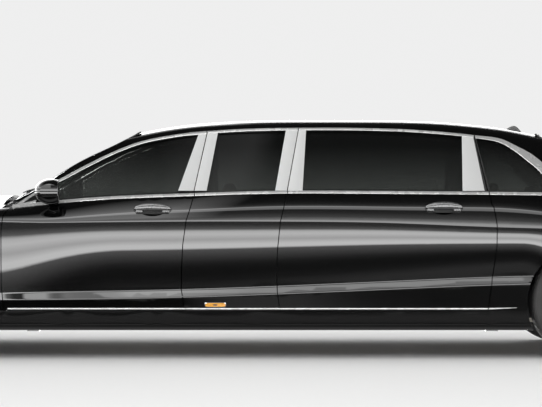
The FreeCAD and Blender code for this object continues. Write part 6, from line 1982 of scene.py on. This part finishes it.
cushion_welt = welt(cushion, 0.215, 0.228, lambda a, b: (a - 0.004, b, 1.0), down)
back_welt = welt(back_rest, 0.208, 0.262, lambda a, b: (1.0, a, b - 0.01), (-1, 0, 0))
stem_spots = (-0.06, 0.06)
stem = joined([pipe([(0, y, -0.06), (0, y, 0.06)], 0.0068, 16, 6) for y in stem_spots])
collars = joined([turned_on_z([(0.0, 0.004), (0.012, 0.003), (0.0135, 0.0), (0.0135, -0.004),
                               (0.0, -0.004)], 20, (0, y, 0)) for y in stem_spots])
base = block((0.43, 0.42, 0.2), at_origin, 0.02, 3)
skirt = block((0.5, 0.5, 0.045), at_origin, 0.014, 3)
knob = joined([block((0.075, 0.014, 0.03), (0.02, 0.0, 0.0), 0.006, 3),
               block((0.016, 0.014, 0.05), (-0.04, 0.0, 0.004), 0.006, 3)])
floor_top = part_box("front_seats")[0][2]


def shifted(x, y, z):
    return Matrix.Translation((x, y, z))


chairs = (("front", 1.075, 1), ("facing", -0.175, -1), ("rear", -1.01, 1))
for row, x, facing in chairs:
    hard, bright, cords, plastic = [], [], [], []
    stands_for = [row + "_seats"]
    for side, y in (("left", 0.375), ("right", -0.375)):
        seat = shifted(x, y, seat_low)
        if facing < 0:
            seat = seat @ Matrix.Rotation(math.pi, 4, "Z")
        leaning = seat @ shifted(-0.26, 0, 0) @ Matrix.Rotation(-seat_lean, 4, "Y")
        on_seat, on_back = seat @ shifted(0.004, 0, 0.072), leaning @ shifted(-0.062, 0, 0.312)
        pads = (("cushion", cushion, on_seat, 0.6), ("back", back_rest, on_back, 0.5),
                ("headrest", head_rest, leaning @ shifted(-0.065, 0, 0.726), 0.7))
        for part, form, spot, fill in pads:
            piece = finish_piece("_".join((row, side, part)), placed(form, spot), seat_leather, "body",
                                 stands_for, 60.0, "leather")
            stands_for = []
        cords += [placed(cushion_welt, on_seat), placed(back_welt, on_back)]
        bright.append(placed(stem, leaning @ shifted(-0.065, 0, 0.635)))
        hard.append(placed(skirt, seat @ shifted(0.0, 0, -0.024)))
        plastic += [placed(collars, leaning @ shifted(-0.065, 0, 0.618)),
                    placed(base, shifted(x, y, (floor_top + seat_low) / 2 - 0.01)),
                    placed(knob, seat @ shifted(0.0, math.copysign(0.262, y * facing), -0.02))]
    finish_piece(row + "_welts", joined(cords), dark_leather, "body", sharp=60.0)
    finish_piece(row + "_stems", joined(bright), chrome, "body")
    finish_piece(row + "_skirts", joined(hard), dark_leather, "body")
    finish_piece(row + "_bases", joined(plastic), trim_grey, "body")
print("armchairs ready")

# %% [markdown]
# The cabin is dressed the same way everywhere: a thin closed sheet is laid on a CAD surface that a ray
# finds. Carpet lies on the floor, cloth under the roof, and each door gets a leather card with a wood
# strip, an armrest, a pull handle and a speaker, which ride on that door.


# %% Cabin linings
def looks_up(nodes, height):
    """A function that lays a point under CAD nodes, seen from a height."""
    return surface_of(nodes, lambda a, b: (a, b, height), (0, 0, 1))


def looks_down(nodes, height):
    return surface_of(nodes, lambda a, b: (a, b, height), (0, 0, -1))


def lay(name, mesh, finish, body="body"):
    finish_piece(name, mesh, finish, body, sharp=60.0)


on_floor, under_roof = looks_down(["floor_pan"], 0.62), looks_up(["roof_panel"], 1.3)
lay("carpets", joined([sheet(on_floor, (0.47, 1.62), (-0.7, 0.7), 0.008, 24, 16, 0.007),
                       sheet(on_floor, (-1.42, 0.4), (-0.7, 0.7), 0.008, 32, 16, 0.007)]), carpet)
lay("headlining", sheet(under_roof, (-1.75, 0.88), (-0.52, 0.52), 0.012, 40, 20, 0.01), lining_cloth)
lights = [block((0.1, 0.06, 0.012), under_roof(x, 0.0, 0.017), 0.005, 3) for x in (0.7, -0.3, -1.2)]
finish_piece("cabin_lights", joined(lights), light_guide, "body")
card_heights, wood_heights = (0.42, 0.98), (0.885, 0.945)
speaker = turned_on_y([(0.0, -0.006), (0.05, -0.005), (0.07, -0.003), (0.076, -0.005), (0.08, -0.004),
                       (0.082, 0.0)], 48)
for door, x0, x1, grab in (("front_door", 0.56, 1.42, 1.12), ("rear_door", -1.1, -0.2, -0.5)):
    body = door + "_left"
    inside = surface_of([body], lambda a, b: (a, 0.3, b), (0, 1, 0))
    both_bodies(door + "_card", sheet(inside, (x0, x1), card_heights, 0.012, 30, 20, 0.01), dark_leather,
                body, 60.0)
    pad = sheet(inside, (x0 + 0.06, x1 - 0.06), (0.72, 0.86), 0.02, 26, 10, 0.009)
    both_bodies(door + "_pad", pad, seat_leather, body, 60.0)
    wood = sheet(inside, (x0 + 0.02, x1 - 0.02), wood_heights, 0.018, 26, 6, 0.007)
    both_bodies(door + "_wood", wood, walnut, body, 60.0)
    rest = block(((x1 - x0) * 0.5, 0.05, 0.05), inside((x0 + x1) / 2, 0.69, 0.03), 0.018, 5)
    both_bodies(door + "_armrest", rest, seat_leather, body, 60.0)
    grip_line = [inside(grab + x, 0.8, lift) for x, lift in ((-0.09, 0.015), (-0.08, 0.04), (0.08, 0.04),
                                                             (0.09, 0.015))]
    lever = block((0.1, 0.012, 0.022), inside(grab + 0.02, 0.915, 0.026), 0.005, 3)
    both_bodies(door + "_pull", joined([pipe(grip_line, 0.008, 12, 30), lever]), chrome, body)
    spot = Matrix.Translation(inside(x1 - 0.14, 0.53, 0.015))
    both_bodies(door + "_speaker", placed(speaker, spot), gloss_plastic, body)
print("linings and door cards ready")

# %% [markdown]
# In front of the driver are a blank dark screen and dials' hood, a second screen in the middle, round air
# vents with slats, and a wood strip across. The partition has wood and one wide screen. All screens are
# blank.

# %% Dashboard and partition
on_dash = surface_of(["dashboard"], lambda a, b: (0.6, a, b), (1, 0, 0))
lay("dash_wood", sheet(on_dash, (-0.68, 0.68), (0.8, 0.84), 0.006, 40, 5, 0.007), walnut)
screens = [sheet(on_dash, span, (0.86, 0.95), 0.008, 12, 6, 0.007) for span in ((0.2, 0.55), (-0.15, 0.17))]
vent_radius, slat_pitch = 0.028, 0.01
vents, slats = [], []
for y in (-0.6, -0.27, 0.64):
    spot = on_dash(y, 0.885, 0.004)
    vents.append(turned_on_x([(0.026, -0.01), (0.03, -0.006), (0.036, 0.002), (0.04, -0.002),
                              (0.04, 0.012)], spot + Vector((-0.002, 0, 0)), 40))
    for k in range(-2, 3):
        rise = slat_pitch * k
        half = math.sqrt(max(0.0, vent_radius ** 2 - rise ** 2))
        slats.append(block((0.006, 2 * half, 0.0025), spot + Vector((-0.001, 0, rise)), 0.001, 2))
finish_piece("vent_rings", joined(vents), chrome, "body")
finish_piece("vent_slats", joined(slats), black_plastic, "body")
on_wall = surface_of(["partition_wall"], lambda a, b: (-0.2, a, b), (1, 0, 0))
lay("partition_wood", sheet(on_wall, (-0.6, 0.6), (0.94, 1.04), 0.006, 10, 4, 0.006), walnut)
screens.append(sheet(on_wall, (-0.3, 0.3), (1.06, 1.078), 0.007, 8, 4, 0.006))
lay("screens", joined(screens), gloss_plastic)
tilt = shifted(1.37, 0.375, 0.93) @ Matrix.Rotation(math.radians(24.0), 4, "Y")
hub_ring = turned_on_x([(0.052, -0.002), (0.054, 0.002), (0.058, 0.003), (0.061, 0.0), (0.061, -0.004)],
                       at_origin)
hub_ring.transform(tilt @ Matrix.Rotation(math.pi, 4, "Z"))
pods = [placed(block((0.008, 0.034, 0.05), (-0.003, y, 0.0), 0.003, 3), tilt) for y in (-0.112, 0.112)]
finish_piece("wheel_ring_trim", hub_ring, chrome, "steering_wheel")
finish_piece("wheel_pods", joined(pods), gloss_plastic, "steering_wheel")
print("dashboard ready")

# %% [markdown]
# Between the seats stand two consoles with wood on top and a padded armrest. The fixed panels get the same
# cards as the doors. The engine has a ribbed plastic cover, felt hangs under the bonnet, and the boot is
# lined with carpet.

# %% Consoles, engine cover and boot
consoles = [block((0.82, 0.185, 0.34), (1.19, 0.0, floor_top + 0.17), 0.025, 4),
            block((0.5, 0.17, 0.27), (-1.02, 0.0, floor_top + 0.135), 0.025, 4)]
finish_piece("consoles", joined(consoles), dark_leather, "body")
lids = [block((0.42, 0.15, 0.012), (1.36, 0.0, floor_top + 0.342), 0.005, 3),
        block((0.2, 0.14, 0.012), (-0.87, 0.0, floor_top + 0.272), 0.005, 3)]
finish_piece("console_wood", joined(lids), walnut, "body")
rests = [block((0.3, 0.165, 0.06), (0.95, 0.0, floor_top + 0.368), 0.024, 5),
         block((0.26, 0.15, 0.06), (-1.13, 0.0, floor_top + 0.298), 0.024, 5)]
finish_piece("console_armrests", joined(rests), seat_leather, "body")
selector = [pipe([(1.3, 0.0, floor_top + 0.34), (1.295, 0.0, floor_top + 0.4)], 0.009, 16, 8),
            block((0.05, 0.03, 0.04), (1.294, 0.0, floor_top + 0.415), 0.013, 4)]
finish_piece("selector", joined(selector), gloss_plastic, "body")
in_panel = surface_of(["mid_panel_left"], lambda a, b: (a, 0.3, b), (0, 1, 0))
both_bodies("mid_card", sheet(in_panel, (-0.1, 0.4), card_heights, 0.012, 20, 20, 0.01), dark_leather,
            "body", 60.0)
both_bodies("mid_wood", sheet(in_panel, (-0.09, 0.39), wood_heights, 0.018, 16, 6, 0.007), walnut, "body",
            60.0)
block_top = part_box("engine_block")[1][2]
rib_pitch = 0.03
cover_parts = [block((0.62, 0.5, 0.04), (2.4, 0.0, block_top + 0.018), 0.014, 4)]
cover_parts += [block((0.5, 0.012, 0.012), (2.4, rib_pitch * k, block_top + 0.042), 0.004, 2)
                for k in range(-6, 7)]
finish_piece("engine_cover", joined(cover_parts), black_plastic, "body")
caps = [turned_on_z([(0.0, 0.016), (0.02, 0.015), (0.026, 0.01), (0.028, -0.006), (0.0, -0.008)], 24,
                    (x, y, block_top + 0.05)) for x, y in ((2.6, 0.215), (2.18, -0.215))]
finish_piece("filler_caps", joined(caps), gloss_plastic, "body")
under_bonnet, under_lid = looks_up(["bonnet"], 0.5), looks_up(["boot_lid"], 0.6)
boot_floor = looks_down(["floor_pan"], 0.99)
lay("bonnet_felt", sheet(under_bonnet, (2.05, 2.95), (-0.5, 0.5), 0.013, 30, 20, 0.01), carpet, "bonnet")
lay("boot_carpet", sheet(boot_floor, (-3.02, -2.5), (-0.5, 0.5), 0.008, 16, 16, 0.007), carpet)
lay("boot_lid_felt", sheet(under_lid, (-3.02, -2.58), (-0.44, 0.44), 0.012, 16, 16, 0.01), carpet,
    "boot_lid")
print("consoles, engine cover and linings ready")

# %% [markdown]
# Some CAD parts already have the right shape, such as the grille bars, the exhaust and the floor. They
# stay, and only get a better finish.

# %% Finishes of the CAD nodes that stay
kept_finish = {"cowl_panel": black_plastic, "rear_shelf": carpet, "dashboard": dark_leather,
               "partition_wall": trim_grey, "engine_block": engine_alloy, "radiator": under_steel,
               "floor_pan": under_steel, "front_subframe": under_steel, "rear_subframe": cast_iron,
               "exhaust": pipe_steel, "wheel_liners": black_plastic, "grille": chrome,
               "front_knuckle_left": cast_iron, "front_knuckle_right": cast_iron,
               "steering_wheel": dark_leather}
for node, finish in kept_finish.items():
    cad[node].data.materials.clear()
    cad[node].data.materials.append(finish)
print("finishes given to", len(kept_finish), "CAD nodes")
